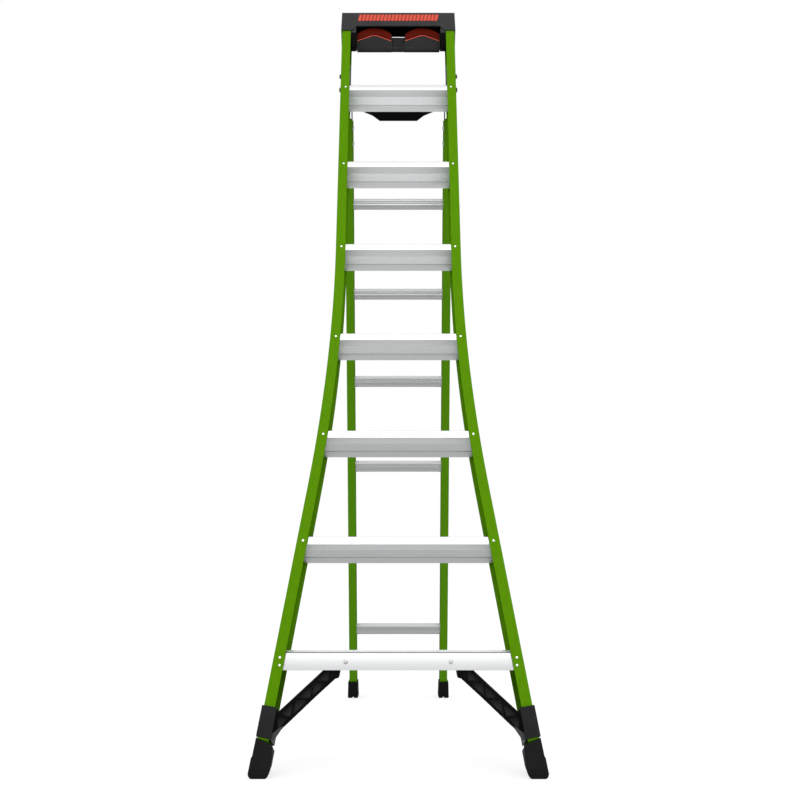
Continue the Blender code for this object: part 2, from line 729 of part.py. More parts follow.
def rear_foot(side):
    levels = []
    for z, shrink in ((0.0, 0.0030), (0.0030, 0.0), (0.0200, 0.0004), (0.0600, 0.0016)):
        levels.append(around_rear_rail(z, side, 0.0060 - shrink, 0.0044 - shrink,
                                       0.0060 - shrink, 0.0097 - shrink))
    foot = horizontal_loft(levels)
    socket = horizontal_loft([around_rear_rail(z, side, 0.0004, 0.0004, 0.0004, 0.0004)
                              for z in (REAR_BOTTOM_Z - GAP, 0.070)])
    middle = side * (REAR_HALF_WIDTH - REAR_FLANGE / 2)
    groove = box((middle - 0.0030, rear_y(-0.02, 0.0), -0.002),
                 (middle + 0.0030, rear_y(REAR_DEPTH + 0.02, 0.0), 0.0045))
    return cut(foot, socket, groove)


# ------------------------------------------------------------ top cap and wall pads
CAP_ROOF_Z = LADDER_HEIGHT - CAP_TOP_THICKNESS     # underside of the cap's top plate
FASCIA_LOW = 2.3558
FASCIA_RAISED = 2.3740


def fascia_outline():
    """Front face of the cap in (x, along): raised in the middle, chamfered to its ends."""
    top = LADDER_HEIGHT / math.cos(LEAN) + 0.030
    half = [(CAP_HALF_WIDTH, FASCIA_LOW), (0.1535, FASCIA_LOW), (0.1370, FASCIA_RAISED)]
    return ([(-x, along) for x, along in half] + half[::-1]
            + [(CAP_HALF_WIDTH, top), (-CAP_HALF_WIDTH, top)])


SKIRT_LOW = 2.1880
CHEEK_LOW = 2.1710


def cap_side(side):
    """Side skirt outside the rail; its front edge runs back as it goes down."""
    top = LADDER_HEIGHT - 0.001
    outline = [(front_y(-CAP_SKIN, 2.2385), 2.2385), (front_y(0.060, SKIRT_LOW), SKIRT_LOW),
               (front_y(0.080, SKIRT_LOW + 0.004), SKIRT_LOW + 0.004),
               (CAP_REAR_Y, CAP_REAR_LOW - 0.030), (CAP_REAR_Y, top),
               (front_y(-CAP_SKIN, top) + 0.003, top)]
    return prism_along_x(outline, *sorted((side * (TOP_HALF_WIDTH + 0.0005),
                                           side * CAP_HALF_WIDTH)))


def cap_cheek(side):
    """Inner cheek beside the rail's open side; it holds one end of the pads' axle."""
    roof = CAP_ROOF_Z + 0.001
    outline = [(-0.0220, CHEEK_LOW), (AXLE_Y - 0.012, AXLE_Z - 0.0095),
               (AXLE_Y + 0.004, AXLE_Z - 0.0080), (AXLE_Y + 0.018, AXLE_Z + 0.0020),
               (0.0760, CAP_REAR_LOW), (0.0760, roof),
               (-0.0050, roof), (-0.0290, 2.2300), (-0.0290, CHEEK_LOW + 0.010)]
    return prism_along_x(outline, *sorted((side * CHEEK_INSIDE,
                                           side * (TOP_HALF_WIDTH - RAIL_FLANGE - 0.0012))))


def top_cap():
    """Moulded cap: sloping fascia, tray top, rear skirt, two side skirts and two cheeks."""
    top = LADDER_HEIGHT
    fascia = plate(fascia_outline(), front_place, -CAP_SKIN - 0.0004, -0.0004)
    trim(fascia, (0, 0, top), (0, 0, 1))
    front_edge = front_y(-CAP_SKIN - 0.0004, top)
    skirt_front = CAP_REAR_Y - 0.0036
    parts = [box((-CAP_HALF_WIDTH, front_edge + 0.0015, CAP_ROOF_Z),
                 (CAP_HALF_WIDTH, CAP_REAR_Y, top)),
             box((-CAP_HALF_WIDTH, skirt_front, CAP_REAR_LOW), (CAP_HALF_WIDTH, CAP_REAR_Y, top))]
    for side in (-1, 1):
        near, far = sorted((side * 0.1290, side * 0.1560))
        ear = box((near, skirt_front, CAP_REAR_LOW - 0.0320), (far, CAP_REAR_Y, CAP_REAR_LOW + 0.001))
        parts += [cap_side(side), cap_cheek(side), ear]
    cap = join(fascia, *parts)
    tray = box((-CAP_HALF_WIDTH + 0.012, front_edge + 0.014, top - TRAY_DEPTH),
               (CAP_HALF_WIDTH - 0.012, CAP_REAR_Y - 0.010, top + 0.002))
    cap = cut(cap, tray, axle_bore())
    height = top - 2.2385
    for vert in cap.verts:
        if abs(vert.co.x) > TOP_HALF_WIDTH + 0.001:
            vert.co.x *= 1 - CAP_TAPER * max(0.0, (vert.co.z - 2.2385) / height)
    return cap


def axle_bore():
    radius = AXLE_RADIUS + RUNNING_FIT
    return turned_along_x((AXLE_Y, AXLE_Z), [(-0.180, radius), (0.180, radius)], 20)


def pad_axle():
    end = TOP_HALF_WIDTH - RAIL_FLANGE - 0.0016
    return turned_along_x((AXLE_Y, AXLE_Z), [(-end, AXLE_RADIUS), (end, AXLE_RADIUS)], 20)


PAD_LOW = 2.1785                # front lower edge of the housings
PAD_UNDERCUT = 0.337            # the housings' underside rises by this slope to the rear
PAD_SIDE = 2.2080
PAD_RIDGE = 2.2262
PAD_CROWN_SIDE = 2.2340
PAD_CROWN = 2.2550
PAD_NEAR = 0.0215               # the pad housings run between these X values
PAD_FAR = 0.1375
BRIDGE_TOP = 2.2288


def pad_carrier():
    """Carrier that turns on the axle: two ridged housings joined by a bridge."""
    centre = (PAD_NEAR + PAD_FAR) / 2
    low = PAD_LOW - 0.002
    parts = []
    for side in (-1, 1):
        outline = [(side * PAD_NEAR, low), (side * (PAD_FAR - 0.004), low),
                   (side * PAD_FAR, PAD_LOW + 0.006), (side * PAD_FAR, PAD_SIDE),
                   (side * (centre + 0.008), PAD_RIDGE - 0.0008), (side * centre, PAD_RIDGE),
                   (side * (centre - 0.008), PAD_RIDGE - 0.0008), (side * PAD_NEAR, PAD_SIDE)]
        parts.append(prism_along_y(outline, PAD_FRONT_Y, PAD_REAR_Y))
    bridge = box((-PAD_NEAR - 0.0008, PAD_FRONT_Y + 0.016, low),
                 (PAD_NEAR + 0.0008, PAD_REAR_Y - 0.006, BRIDGE_TOP))
    carrier = join(bridge, *parts)
    trim(carrier, (0, PAD_FRONT_Y, PAD_LOW), (0, PAD_UNDERCUT, -1))
    notch = box((-0.0030, PAD_FRONT_Y, PAD_LOW), (0.0030, PAD_REAR_Y, PAD_LOW + 0.0075))
    return cut(carrier, notch, axle_bore())


def wall_pad(side):
    """Rubber pad seated on a housing's ridge, with an arched face."""
    centre = (PAD_NEAR + PAD_FAR) / 2
    half = (PAD_FAR - PAD_NEAR) / 2 - 0.0012
    lift = 0.0010
    outline = [(centre - half, PAD_SIDE + lift), (centre - 0.008, PAD_RIDGE - 0.0008 + lift),
               (centre, PAD_RIDGE + lift), (centre + 0.008, PAD_RIDGE - 0.0008 + lift),
               (centre + half, PAD_SIDE + lift)]
    rise = PAD_CROWN - PAD_CROWN_SIDE
    radius = (half * half + rise * rise) / (2 * rise)
    spread = math.asin(half / radius)
    outline += arc((centre, PAD_CROWN - radius), radius, math.pi / 2 - spread,
                   math.pi / 2 + spread, 10)
    points = [(side * x, z) for x, z in outline]
    return prism_along_y(points, PAD_FRONT_Y + 0.001, PAD_REAR_Y - 0.001)


# ---------------------------------------------------------------------- assembly
def build():
    for old in list(bpy.data.objects):
        bpy.data.objects.remove(old)

    front = body_empty("front_section_frame", (0, 0, 0))
    rear = body_empty("rear_section_frame", (0, PIVOT_Y, PIVOT_Z), front)
    pads = body_empty("wall_pad_frame", (0, AXLE_Y, AXLE_Z), front)

    for name, side in SIDES:
        piece(f"front_rail_{name}", front_rail(side), GREEN, front, True)
    for index in range(STEP_COUNT):
        piece(f"step_{index + 1}", box_step(TOP_LIP_ALONG - STEP_PITCH * index), ALUMINIUM, front)
    piece("bottom_step", bottom_step(), ALUMINIUM, front)
    piece("top_cap", top_cap(), BLACK, front)
    piece("pad_axle", pad_axle(), STEEL, front, True)
    for name, side in SIDES:
        piece(f"knee_brace_{name}", knee_brace(side), BLACK, front)
        piece(f"brace_bolt_{name}", brace_bolt(side), STEEL, front, True)
        piece(f"front_foot_{name}", front_foot(side), RUBBER, front)
        piece(f"hinge_block_{name}", hinge_block(side), BLACK, front)
        piece(f"block_screw_{name}", block_screw(side), STEEL, front, True)
        piece(f"pivot_bolt_{name}", pivot_bolt(side), STEEL, front, True)
        piece(f"pivot_nut_{name}", pivot_nut(side), STEEL, front)
        piece(f"stop_pin_{name}", stop_pin(side), STEEL, front, True)

    for name, side in SIDES:
        piece(f"rear_rail_{name}", rear_rail(side), GREEN, rear, True)
        piece(f"hinge_arm_{name}", hinge_arm(side), STEEL, rear)
        piece(f"rail_plug_{name}", rail_plug(side), BLACK, rear)
        for place, along in zip(("upper", "lower"), ARM_BOLT_ALONG):
            piece(f"arm_bolt_{place}_{name}", arm_bolt(side, along), STEEL, rear, True)
        piece(f"rear_foot_{name}", rear_foot(side), RUBBER, rear)
    for index in range(RUNG_COUNT):
        piece(f"rung_{index + 1}", rung(index), ALUMINIUM, rear)
    piece("cross_brace", cross_brace(), BLACK, rear)

    piece("pad_carrier", pad_carrier(), BLACK, pads)
    for name, side in SIDES:
        piece(f"wall_pad_{name}", wall_pad(side), RED, pads)


build()
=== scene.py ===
# %% [markdown]
# # A fibreglass combination stepladder
# The ladder stands open as an A-frame: a flared climbing section in front, a narrower
# straight section behind, and a moulded cap on top.  A measured model of it comes first.
# It fixes every size and place, and the cells below give it its surfaces and small parts.
# %% Load the measured model
import math

import bmesh
import bpy
from mathutils import Matrix, Vector


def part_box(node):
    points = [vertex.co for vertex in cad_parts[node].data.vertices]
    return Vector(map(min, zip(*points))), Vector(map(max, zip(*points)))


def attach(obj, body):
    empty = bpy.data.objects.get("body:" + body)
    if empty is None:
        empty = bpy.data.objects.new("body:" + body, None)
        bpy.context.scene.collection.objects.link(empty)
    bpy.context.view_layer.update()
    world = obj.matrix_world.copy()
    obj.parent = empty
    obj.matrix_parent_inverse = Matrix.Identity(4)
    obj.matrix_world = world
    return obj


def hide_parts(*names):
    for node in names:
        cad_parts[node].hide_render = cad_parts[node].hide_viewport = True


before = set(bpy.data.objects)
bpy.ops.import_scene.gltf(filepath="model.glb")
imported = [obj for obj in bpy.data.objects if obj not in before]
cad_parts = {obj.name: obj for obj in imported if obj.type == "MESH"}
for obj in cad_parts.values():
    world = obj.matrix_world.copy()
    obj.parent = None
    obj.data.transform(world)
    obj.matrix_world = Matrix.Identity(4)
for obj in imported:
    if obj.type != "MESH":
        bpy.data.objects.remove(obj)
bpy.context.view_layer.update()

SIDES = (("left", -1), ("right", 1))

# %% [markdown]
# ## Camera
# A normal 50 mm lens looks at the ladder from the front, a little below half its height,
# and tilts up by a few degrees.  Looking up is why the steps' undersides show.
# %% Camera
CAMERA_TILT = 0.1325626286
CAMERA_PLACE = (0, -3.500819, 0.544387)
CAMERA_SHIFT = 0.002125
camera_data = bpy.data.cameras.new("front_view")
camera_data.lens = 50
camera_data.sensor_width = 36
camera_data.shift_x = CAMERA_SHIFT
camera = bpy.data.objects.new("front_view", camera_data)
camera.location = CAMERA_PLACE
camera.rotation_euler = (math.radians(90) + CAMERA_TILT, 0, 0)
bpy.context.scene.collection.objects.link(camera)
bpy.context.scene.camera = camera
print("camera looks up by", round(math.degrees(CAMERA_TILT), 2), "degrees")

# %% [markdown]
# ## Floor and light
# A product shot on white needs a bright, even surround and one larger soft source.  A white
# world gives the first.  A wide panel in front and above gives the second: it helps turn the
# front lips of the aluminium steps brighter than the plates below them, together with a
# lighter grey on the lips that is painted light.  Two weaker panels light the sides.  The
# floor is a plain disc, wide enough to meet the world's white at the horizon.  It gives most
# of its own light, so that the shadows on it stay faint.
# %% Floor and light
def place_panel(name, place, aim, width, height, watts):
    """A soft rectangular light at a place, turned towards a point."""
    panel = bpy.data.lights.new(name, "AREA")
    panel.shape = "RECTANGLE"
    panel.size = width
    panel.size_y = height
    panel.energy = watts
    holder = bpy.data.objects.new(name, panel)
    holder.location = place
    holder.rotation_euler = (Vector(aim) - Vector(place)).to_track_quat("-Z", "Y").to_euler()
    bpy.context.scene.collection.objects.link(holder)


world = bpy.data.worlds.new("white_studio")
world.use_nodes = True
world.node_tree.nodes["Background"].inputs["Color"].default_value = (1.0, 1.0, 1.0, 1.0)
world.node_tree.nodes["Background"].inputs["Strength"].default_value = 1.0
bpy.context.scene.world = world
bpy.context.scene.view_settings.view_transform = "Standard"

place_panel("front_panel", (0, -4.2, 4.6), (0, -0.2, 1.2), 5.0, 3.0, 90)
place_panel("left_panel", (-4.5, -1.5, 2.6), (0, 0, 1.1), 2.0, 3.0, 25)
place_panel("right_panel", (4.5, -1.5, 2.6), (0, 0, 1.1), 2.0, 3.0, 25)

FLOOR_RADIUS = 30.0
FLOOR_GREY = 0.30
FLOOR_GLOW = 0.71
floor_mesh = bmesh.new()
bmesh.ops.create_circle(floor_mesh, cap_ends=True, radius=FLOOR_RADIUS, segments=96)
floor_data = bpy.data.meshes.new("studio_floor")
floor_mesh.to_mesh(floor_data)
floor_mesh.free()
floor = bpy.data.objects.new("studio_floor", floor_data)
bpy.context.scene.collection.objects.link(floor)
floor_paint = bpy.data.materials.new("pale_floor")
floor_paint.use_nodes = True
floor_shader = floor_paint.node_tree.nodes["Principled BSDF"]
floor_shader.inputs["Base Color"].default_value = (FLOOR_GREY, FLOOR_GREY, FLOOR_GREY, 1.0)
floor_shader.inputs["Roughness"].default_value = 0.9
floor_shader.inputs["Specular IOR Level"].default_value = 0.1
floor_shader.inputs["Emission Color"].default_value = (1.0, 1.0, 1.0, 1.0)
floor_shader.inputs["Emission Strength"].default_value = FLOOR_GLOW
floor_data.materials.append(floor_paint)
print("floor radius", FLOOR_RADIUS, "m")

# %% [markdown]
# ## A short way to write node trees
# Both materials and Geometry Nodes are graphs.  One helper adds a node and fills its
# sockets: a plain value is stored, and another node's output is linked.
# %% Node helper
def add_node(tree, kind, sockets=None, **settings):
    """Add a node.  sockets maps an input's name or number to a value or an output socket."""
    made = tree.nodes.new(kind)
    for key, value in settings.items():
        setattr(made, key, value)
    for key, value in (sockets or {}).items():
        if isinstance(value, bpy.types.NodeSocket):
            tree.links.new(value, made.inputs[key])
        else:
            made.inputs[key].default_value = value
    return made


def math_node(tree, operation, first, second=0.0):
    """Add one sum and give its result's socket."""
    return add_node(tree, "ShaderNodeMath", {0: first, 1: second}, operation=operation).outputs[0]


print("node helpers are ready")

# %% [markdown]
# ## Finishes
# Every surface here shares one recipe.  A noise pattern stretched along the grain moves the
# colour and the roughness a little, a finer one makes the bump, and a third, cut off sharply,
# leaves a few scuffs.  What changes from one finish to the next is the scale and direction of
# the grain: drawn lines on aluminium, glass strands in the rails, a fine pebble on plastic.
# %% Surface recipe
def grain(tree, place, stretch, turn, scale, detail=4.0):
    """Noise read through a Mapping node that stretches and turns it; gives its 0-1 value."""
    mapped = add_node(tree, "ShaderNodeMapping",
                      {"Vector": place, "Rotation": turn, "Scale": stretch})
    noise = add_node(tree, "ShaderNodeTexNoise",
                     {"Vector": mapped.outputs["Vector"], "Scale": scale, "Detail": detail,
                      "Roughness": 0.6})
    return noise.outputs["Fac"]


def mix_colours(tree, factor, first, second):
    """Blend two colours, each a triple or a socket, by a factor."""
    mixer = add_node(tree, "ShaderNodeMix", {"Factor": factor}, data_type="RGBA")
    for socket, value in zip((mixer.inputs[6], mixer.inputs[7]), (first, second)):
        if isinstance(value, bpy.types.NodeSocket):
            tree.links.new(value, socket)
        else:
            socket.default_value = (*value, 1.0)
    return mixer.outputs[2]


def remap(tree, value, low, high, start, end):
    """Stretch the range low-high of a value to start-end."""
    ranged = add_node(tree, "ShaderNodeMapRange",
                      {"Value": value, "From Min": low, "From Max": high, "To Min": start,
                       "To Max": end})
    return ranged.outputs["Result"]


def finish_surface(name, dark, light, scuff, rough, metallic=0.0, specular=0.5,
                   stretch=(1, 1, 1), turn=(0, 0, 0), scale=40.0, fine=400.0, depth=0.00005,
                   scuffs=0.66):
    """A material from the shared recipe; dark and light are the two ends of its colour."""
    paint = bpy.data.materials.new(name)
    paint.use_nodes = True
    tree = paint.node_tree
    shader = tree.nodes["Principled BSDF"]
    place = add_node(tree, "ShaderNodeTexCoord").outputs["Object"]
    broad = grain(tree, place, stretch, turn, scale)
    colour = mix_colours(tree, remap(tree, broad, 0.3, 0.7, 0.0, 1.0), dark, light)
    worn = grain(tree, place, (1, 1, 1), turn, 23.0, 8.0)
    worn = remap(tree, worn, scuffs, scuffs + 0.06, 0.0, 1.0)
    colour = mix_colours(tree, worn, colour, scuff)
    small = grain(tree, place, stretch, turn, fine, 2.0)
    bump = add_node(tree, "ShaderNodeBump",
                    {"Strength": 0.6, "Distance": depth, "Height": small})
    tree.links.new(colour, shader.inputs["Base Color"])
    tree.links.new(remap(tree, broad, 0.3, 0.7, *rough), shader.inputs["Roughness"])
    tree.links.new(bump.outputs["Normal"], shader.inputs["Normal"])
    shader.inputs["Metallic"].default_value = metallic
    shader.inputs["Specular IOR Level"].default_value = specular
    return paint


print("the recipe is ready")

# %% [markdown]
# ## The ladder's own finishes
# The rails are pultruded: glass strands run their whole length under a thin green resin, so
# the grain is stretched along each section's slope.  Steps and rungs are extrusions, with
# drawn lines across the ladder.  The mouldings are black polypropylene, the boots rubber.
# %% Finishes of this ladder
LEAN = math.radians(18.25)
FRONT_GREENS = ((0.069, 0.196, 0.0006), (0.083, 0.225, 0.0008), (0.098, 0.246, 0.0030))
REAR_GREENS = ((0.053, 0.161, 0.0003), (0.064, 0.185, 0.0004), (0.078, 0.206, 0.0020))
SHADE_GREENS = ((0.012, 0.040, 0.0005), (0.016, 0.052, 0.0007), (0.022, 0.070, 0.0012))
ALONG_RAIL = (60, 60, 1.4)
ALONG_STEP = (0.4, 60, 60)


def green(name, shades, rough, specular, turn):
    """Pultruded resin: glass strands stretched along a section's slope."""
    return finish_surface(name, *shades, rough, specular=specular, stretch=ALONG_RAIL,
                          turn=(turn, 0, 0), scale=2.2, fine=9.0)


front_green = green("front_green", FRONT_GREENS, (0.38, 0.52), 0.02, LEAN)
rear_green = green("rear_green", REAR_GREENS, (0.38, 0.52), 0.05, -LEAN)
# The edge green is a darker copy of the rail green: painted shade on the flange edges and on the
# strip above each boot.
shade_green = green("shade_green", SHADE_GREENS, (0.80, 0.90), 0.0, LEAN)


def metal(name, grey, rough, scale=10.0, fine=36.0, stretch=ALONG_STEP, depth=0.00001):
    """Bare metal: three close greys round the given one, fully metallic."""
    shades = [tuple(grey * share * tint for tint in (1.0, 1.01, 1.02))
              for share in (0.985, 1.02, 1.05)]
    return finish_surface(name, *shades, rough, metallic=1.0, stretch=stretch, scale=scale,
                          fine=fine, depth=depth)


def plastic(name, grey, rough, specular, scale=30.0, fine=1600.0, depth=0.00008, scuffs=0.70):
    """Dark moulded plastic or rubber round the given grey."""
    shades = [tuple(grey * share * tint for tint in (1.0, 1.0, 1.04))
              for share in (0.85, 1.15, 1.9)]
    return finish_surface(name, *shades, rough, specular=specular, scale=scale, fine=fine,
                          depth=depth, scuffs=scuffs)


# The lip, face and tread greys are lighter copies of the steps' one aluminium: painted light.
lit_lip_metal = metal("lit_lip_metal", 0.67, (0.36, 0.44))
lit_face_metal = metal("lit_face_metal", 0.60, (0.36, 0.44))
lit_tread_metal = metal("lit_tread_metal", 0.90, (0.36, 0.44))
# The crease and front-corner greys are darker copies of the same aluminium: painted shade.
crease_shade_metal = metal("crease_shade_metal", 0.27, (0.40, 0.50))
corner_shade_metal = metal("corner_shade_metal", 0.08, (0.50, 0.60))
# The rung's top grey is a lighter copy of the rung metal: a painted highlight on its crest.
lit_rung_crest_metal = metal("lit_rung_crest_metal", 0.62, (0.30, 0.40))
rung_metal = metal("rung_metal", 0.36, (0.30, 0.34))
ROUND = (1, 1, 1)
rivet_metal = metal("rivet_metal", 0.90, (0.22, 0.34), 120.0, 900.0, ROUND, 0.00002)
zinc = metal("zinc", 0.46, (0.26, 0.42), 160.0, 1200.0, ROUND, 0.00002)
dark_steel = metal("dark_steel", 0.07, (0.36, 0.50), 160.0, 1200.0, ROUND, 0.00002)
head_paint = plastic("head_paint", 0.045, (0.50, 0.60), 0.03)
cap_plastic = plastic("cap_plastic", 0.031, (0.50, 0.62), 0.08)
dark_plastic = plastic("dark_plastic", 0.0145, (0.46, 0.60), 0.06)
# The pit grey is near-black: painted shade on the cap's cheeks, the pads' sides, the braces' rib
# edges and the cross brace, and plain black plastic on the washers and the boot lines.
black_and_shade_plastic = plastic("black_and_shade_plastic", 0.0030, (0.60, 0.70), 0.03)
housing_plastic = plastic("housing_plastic", 0.0190, (0.46, 0.60), 0.06)
shade_plastic = plastic("shade_plastic", 0.0260, (0.80, 0.90), 0.0)
# The web and heel greys are lighter copies of the braces' plastic: painted light.
lit_web_plastic = plastic("lit_web_plastic", 0.0370, (0.50, 0.62), 0.06)
lit_heel_plastic = plastic("lit_heel_plastic", 0.0560, (0.50, 0.62), 0.06)
boot_rubber = plastic("boot_rubber", 0.0086, (0.58, 0.76), 0.05, 26.0, 1100.0, 0.00012, 0.66)
rear_rubber = plastic("rear_rubber", 0.0050, (0.58, 0.76), 0.04, 26.0, 1100.0, 0.00012, 0.66)
PAD_REDS = ((0.070, 0.0042, 0.0013), (0.094, 0.0060, 0.0019), (0.120, 0.014, 0.007))
# The rim reds are a lighter copy of the pad's red: a painted highlight along the rim beads.
LIT_RIM_REDS = ((0.490, 0.082, 0.060), (0.620, 0.112, 0.088), (0.660, 0.150, 0.120))
BADGE_REDS = ((0.520, 0.060, 0.036), (0.600, 0.078, 0.048), (0.640, 0.120, 0.085))


def red(name, shades, rough=(0.40, 0.52), specular=0.10, scale=60.0, depth=0.00004, scuffs=0.70):
    """Red rubber or plastic with a fine pebble."""
    return finish_surface(name, *shades, rough, specular=specular, scale=scale, fine=1300.0,
                          depth=depth, scuffs=scuffs)


pad_rubber = red("pad_rubber", PAD_REDS, (0.44, 0.60), 0.03, 45.0, 0.00008, 0.68)
lit_rim_red = red("lit_rim_red", LIT_RIM_REDS)
badge_red = red("badge_red", BADGE_REDS)
print("materials so far:", len(bpy.data.materials))

# %% [markdown]
# An apron has three bands, drawn to different smoothness.  On the upper steps the sunk middle
# band looks brighter than the bands beside it and on the lower ones duller, so each band's
# grey follows its height, on top of the same grain: painted light.
# %% Band finishes
GRADE_LOW_Z = 0.80
GRADE_HIGH_Z = 2.00


def height_lit_metal(name, rough, low_gain, high_gain):
    """The steps' metal, its grey scaled by a gain that changes with height, which paints light."""
    paint = metal(name, 0.545, rough)
    tree = paint.node_tree
    shader = tree.nodes["Principled BSDF"]
    grained = shader.inputs["Base Color"].links[0].from_socket
    height = add_node(tree, "ShaderNodeSeparateXYZ",
                      {"Vector": add_node(tree, "ShaderNodeTexCoord").outputs["Object"]})
    gain = remap(tree, height.outputs["Z"], GRADE_LOW_Z, GRADE_HIGH_Z, low_gain, high_gain)
    gained = add_node(tree, "ShaderNodeVectorMath", {0: grained, 1: gain}, operation="MULTIPLY")
    tree.links.new(gained.outputs["Vector"], shader.inputs["Base Color"])
    return paint


# The gain with height paints light.
step_metal = height_lit_metal("step_metal", (0.34, 0.38), 0.93, 1.01)
band_metal = height_lit_metal("band_metal", (0.26, 0.29), 0.78, 1.34)
heel_metal = height_lit_metal("heel_metal", (0.34, 0.38), 0.76, 1.04)
print("materials in the file:", len(bpy.data.materials))


def mesh_from(solid, name):
    """Turn a BMesh into plain mesh data and free it."""
    mesh = bpy.data.meshes.new(name)
    solid.to_mesh(mesh)
    solid.free()
    return mesh


def bisected(solid, place, direction, **clearing):
    """Cut a BMesh with a plane and give the edges of the cut."""
    whole = solid.verts[:] + solid.edges[:] + solid.faces[:]
    found = bmesh.ops.bisect_plane(solid, geom=whole, dist=0.000001, plane_co=place,
                                   plane_no=direction, **clearing)
    return [item for item in found["geom_cut"] if isinstance(item, bmesh.types.BMEdge)]


def settle(name, mesh, body, paint, stands_for=(), smooth_angle=32):
    """Make the final object from a mesh, shade it, and attach it to its body."""
    if paint.name not in mesh.materials:
        mesh.materials.clear()
        mesh.materials.append(paint)
    mesh.shade_smooth()
    mesh.set_sharp_from_angle(angle=math.radians(smooth_angle))
    shown = bpy.data.objects.new(name, mesh)
    bpy.context.scene.collection.objects.link(shown)
    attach(shown, body)
    if stands_for:
        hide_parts(*stands_for)
    return shown


def evaluated_mesh(holder, name):
    """The plain mesh that an object's modifiers give; the object itself is removed."""
    graph = bpy.context.evaluated_depsgraph_get()
    graph.update()
    mesh = bpy.data.meshes.new_from_object(holder.evaluated_get(graph))
    mesh.name = name
    source = holder.data
    bpy.data.objects.remove(holder)
    bpy.data.meshes.remove(source)
    return mesh


def holder_with(name, mesh):
    """A working object that carries modifiers for a while."""
    holder = bpy.data.objects.new(name, mesh)
    bpy.context.scene.collection.objects.link(holder)
    return holder


# %% [markdown]
# ## Softened mouldings
# No moulded or extruded edge is truly sharp.  For the shapes whose measured form is right, we
# merge a copy of the node's loose triangles, join its flat faces, round the corners with a
# Bevel modifier, and let the copy stand for the node.
# %% Soften a node
def soften(node, body, paint, width):
    """Round the edges of a copy of a measured node and let it stand for that node."""
    solid = bmesh.new()
    solid.from_mesh(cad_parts[node].data)
    bmesh.ops.remove_doubles(solid, verts=solid.verts, dist=0.00002)
    bmesh.ops.dissolve_limit(solid, angle_limit=math.radians(1.0), verts=solid.verts,
                             edges=solid.edges)
    bmesh.ops.recalc_face_normals(solid, faces=solid.faces)
    holder = holder_with(node + "_soft", mesh_from(solid, node + "_copy"))
    if width:
        bevel = holder.modifiers.new("rounding", "BEVEL")
        bevel.width = width
        bevel.segments = 3
        bevel.limit_method = "ANGLE"
        bevel.angle_limit = math.radians(28)
        bevel.harden_normals = False
    return settle(node + "_shape", evaluated_mesh(holder, node + "_mesh"), body, paint, (node,), 40)


# The cross brace gets the near-black pit grey: painted shade.
MOULDINGS = [("top_cap", "front_section", cap_plastic, 0.0012),
             ("pad_carrier", "wall_pad", housing_plastic, 0.0012),
             ("cross_brace", "rear_section", black_and_shade_plastic, 0.0014)]
for label, side in SIDES:
    MOULDINGS += [("knee_brace_" + label, "front_section", dark_plastic, 0.0007),
                  ("front_foot_" + label, "front_section", boot_rubber, 0.0014),
                  ("hinge_block_" + label, "front_section", dark_plastic, 0.0010),
                  ("rail_plug_" + label, "rear_section", dark_plastic, 0.0008),
                  ("rear_foot_" + label, "rear_section", rear_rubber, 0.0012)]
softened = {}
for node, body, paint, width in MOULDINGS:
    softened[node] = soften(node, body, paint, width)
    print(softened[node].name, "faces:", len(softened[node].data.polygons))

# %% [markdown]
# ## Painted shade and second finishes on one moulding
# Some faces of a moulding look different from the rest: the cap's inner cheeks lie in deep
# shadow behind the fascia and get painted shade, the carrier is dull underneath, and the
# braces' rib edges get painted shade while the webs between them get painted light.  A face
# test picks such faces and gives them another material.
# %% Paint part of a piece
def paint_faces(piece, paint, test):
    """Add a material and give it to the faces whose centre and normal pass a test."""
    piece.data.materials.append(paint)
    slot_number = len(piece.data.materials) - 1
    changed = 0
    for face in piece.data.polygons:
        if test(face.center, face.normal):
            face.material_index = slot_number
            changed += 1
    print(piece.name, "second finish on", changed, "faces")


FRONT_FOOT_Y = -0.7641
BRACE_FRONT_DEPTH = 0.0100
RIB_EDGE_DEPTH = 0.0020
WEB_DEPTHS = (0.0100, 0.0200)
WEB_REACH_X = 0.300
RIB_REACH_X = 0.285
FACES_FRONT = -0.8
CHEEK_HALF_WIDTH = 0.1575
CAP_TOP_SKIN_Z = 2.3036
CARRIER_SKIN_Z = 2.19


def front_depth(place):
    """How far a point lies behind the front section's face."""
    return (place.y - FRONT_FOOT_Y) * math.cos(LEAN) - place.z * math.sin(LEAN)


def inside_cap(centre, normal):
    """True on the cap's hollow side: behind the fascia, between the rails, under the top."""
    return (abs(centre.x) < CHEEK_HALF_WIDTH and front_depth(centre) > -0.0002
            and centre.z < CAP_TOP_SKIN_Z)


def under_carrier(centre, normal):
    """True on the pad carrier's underside."""
    return normal.z < -0.5 and centre.z < CARRIER_SKIN_Z


def on_brace_web(centre, normal):
    """True on the thin webs between a brace's ribs."""
    behind = front_depth(centre) - BRACE_FRONT_DEPTH
    return (abs(centre.x) < WEB_REACH_X and normal.y < FACES_FRONT
            and WEB_DEPTHS[0] < behind < WEB_DEPTHS[1])


def on_brace_front(centre, normal):
    """True on the brace's rib edges, which all lie in one plane behind the rail's face."""
    return (abs(centre.x) < RIB_REACH_X and normal.y < FACES_FRONT
            and front_depth(centre) < BRACE_FRONT_DEPTH + RIB_EDGE_DEPTH)


# Painted shade on the cap's inner cheeks.
paint_faces(softened["top_cap"], black_and_shade_plastic, inside_cap)
paint_faces(softened["pad_carrier"], shade_plastic, under_carrier)
# Painted light on the braces' webs and painted shade on their rib edges.
for label, side in SIDES:
    paint_faces(softened["knee_brace_" + label], lit_web_plastic, on_brace_web)
    paint_faces(softened["knee_brace_" + label], black_and_shade_plastic, on_brace_front)

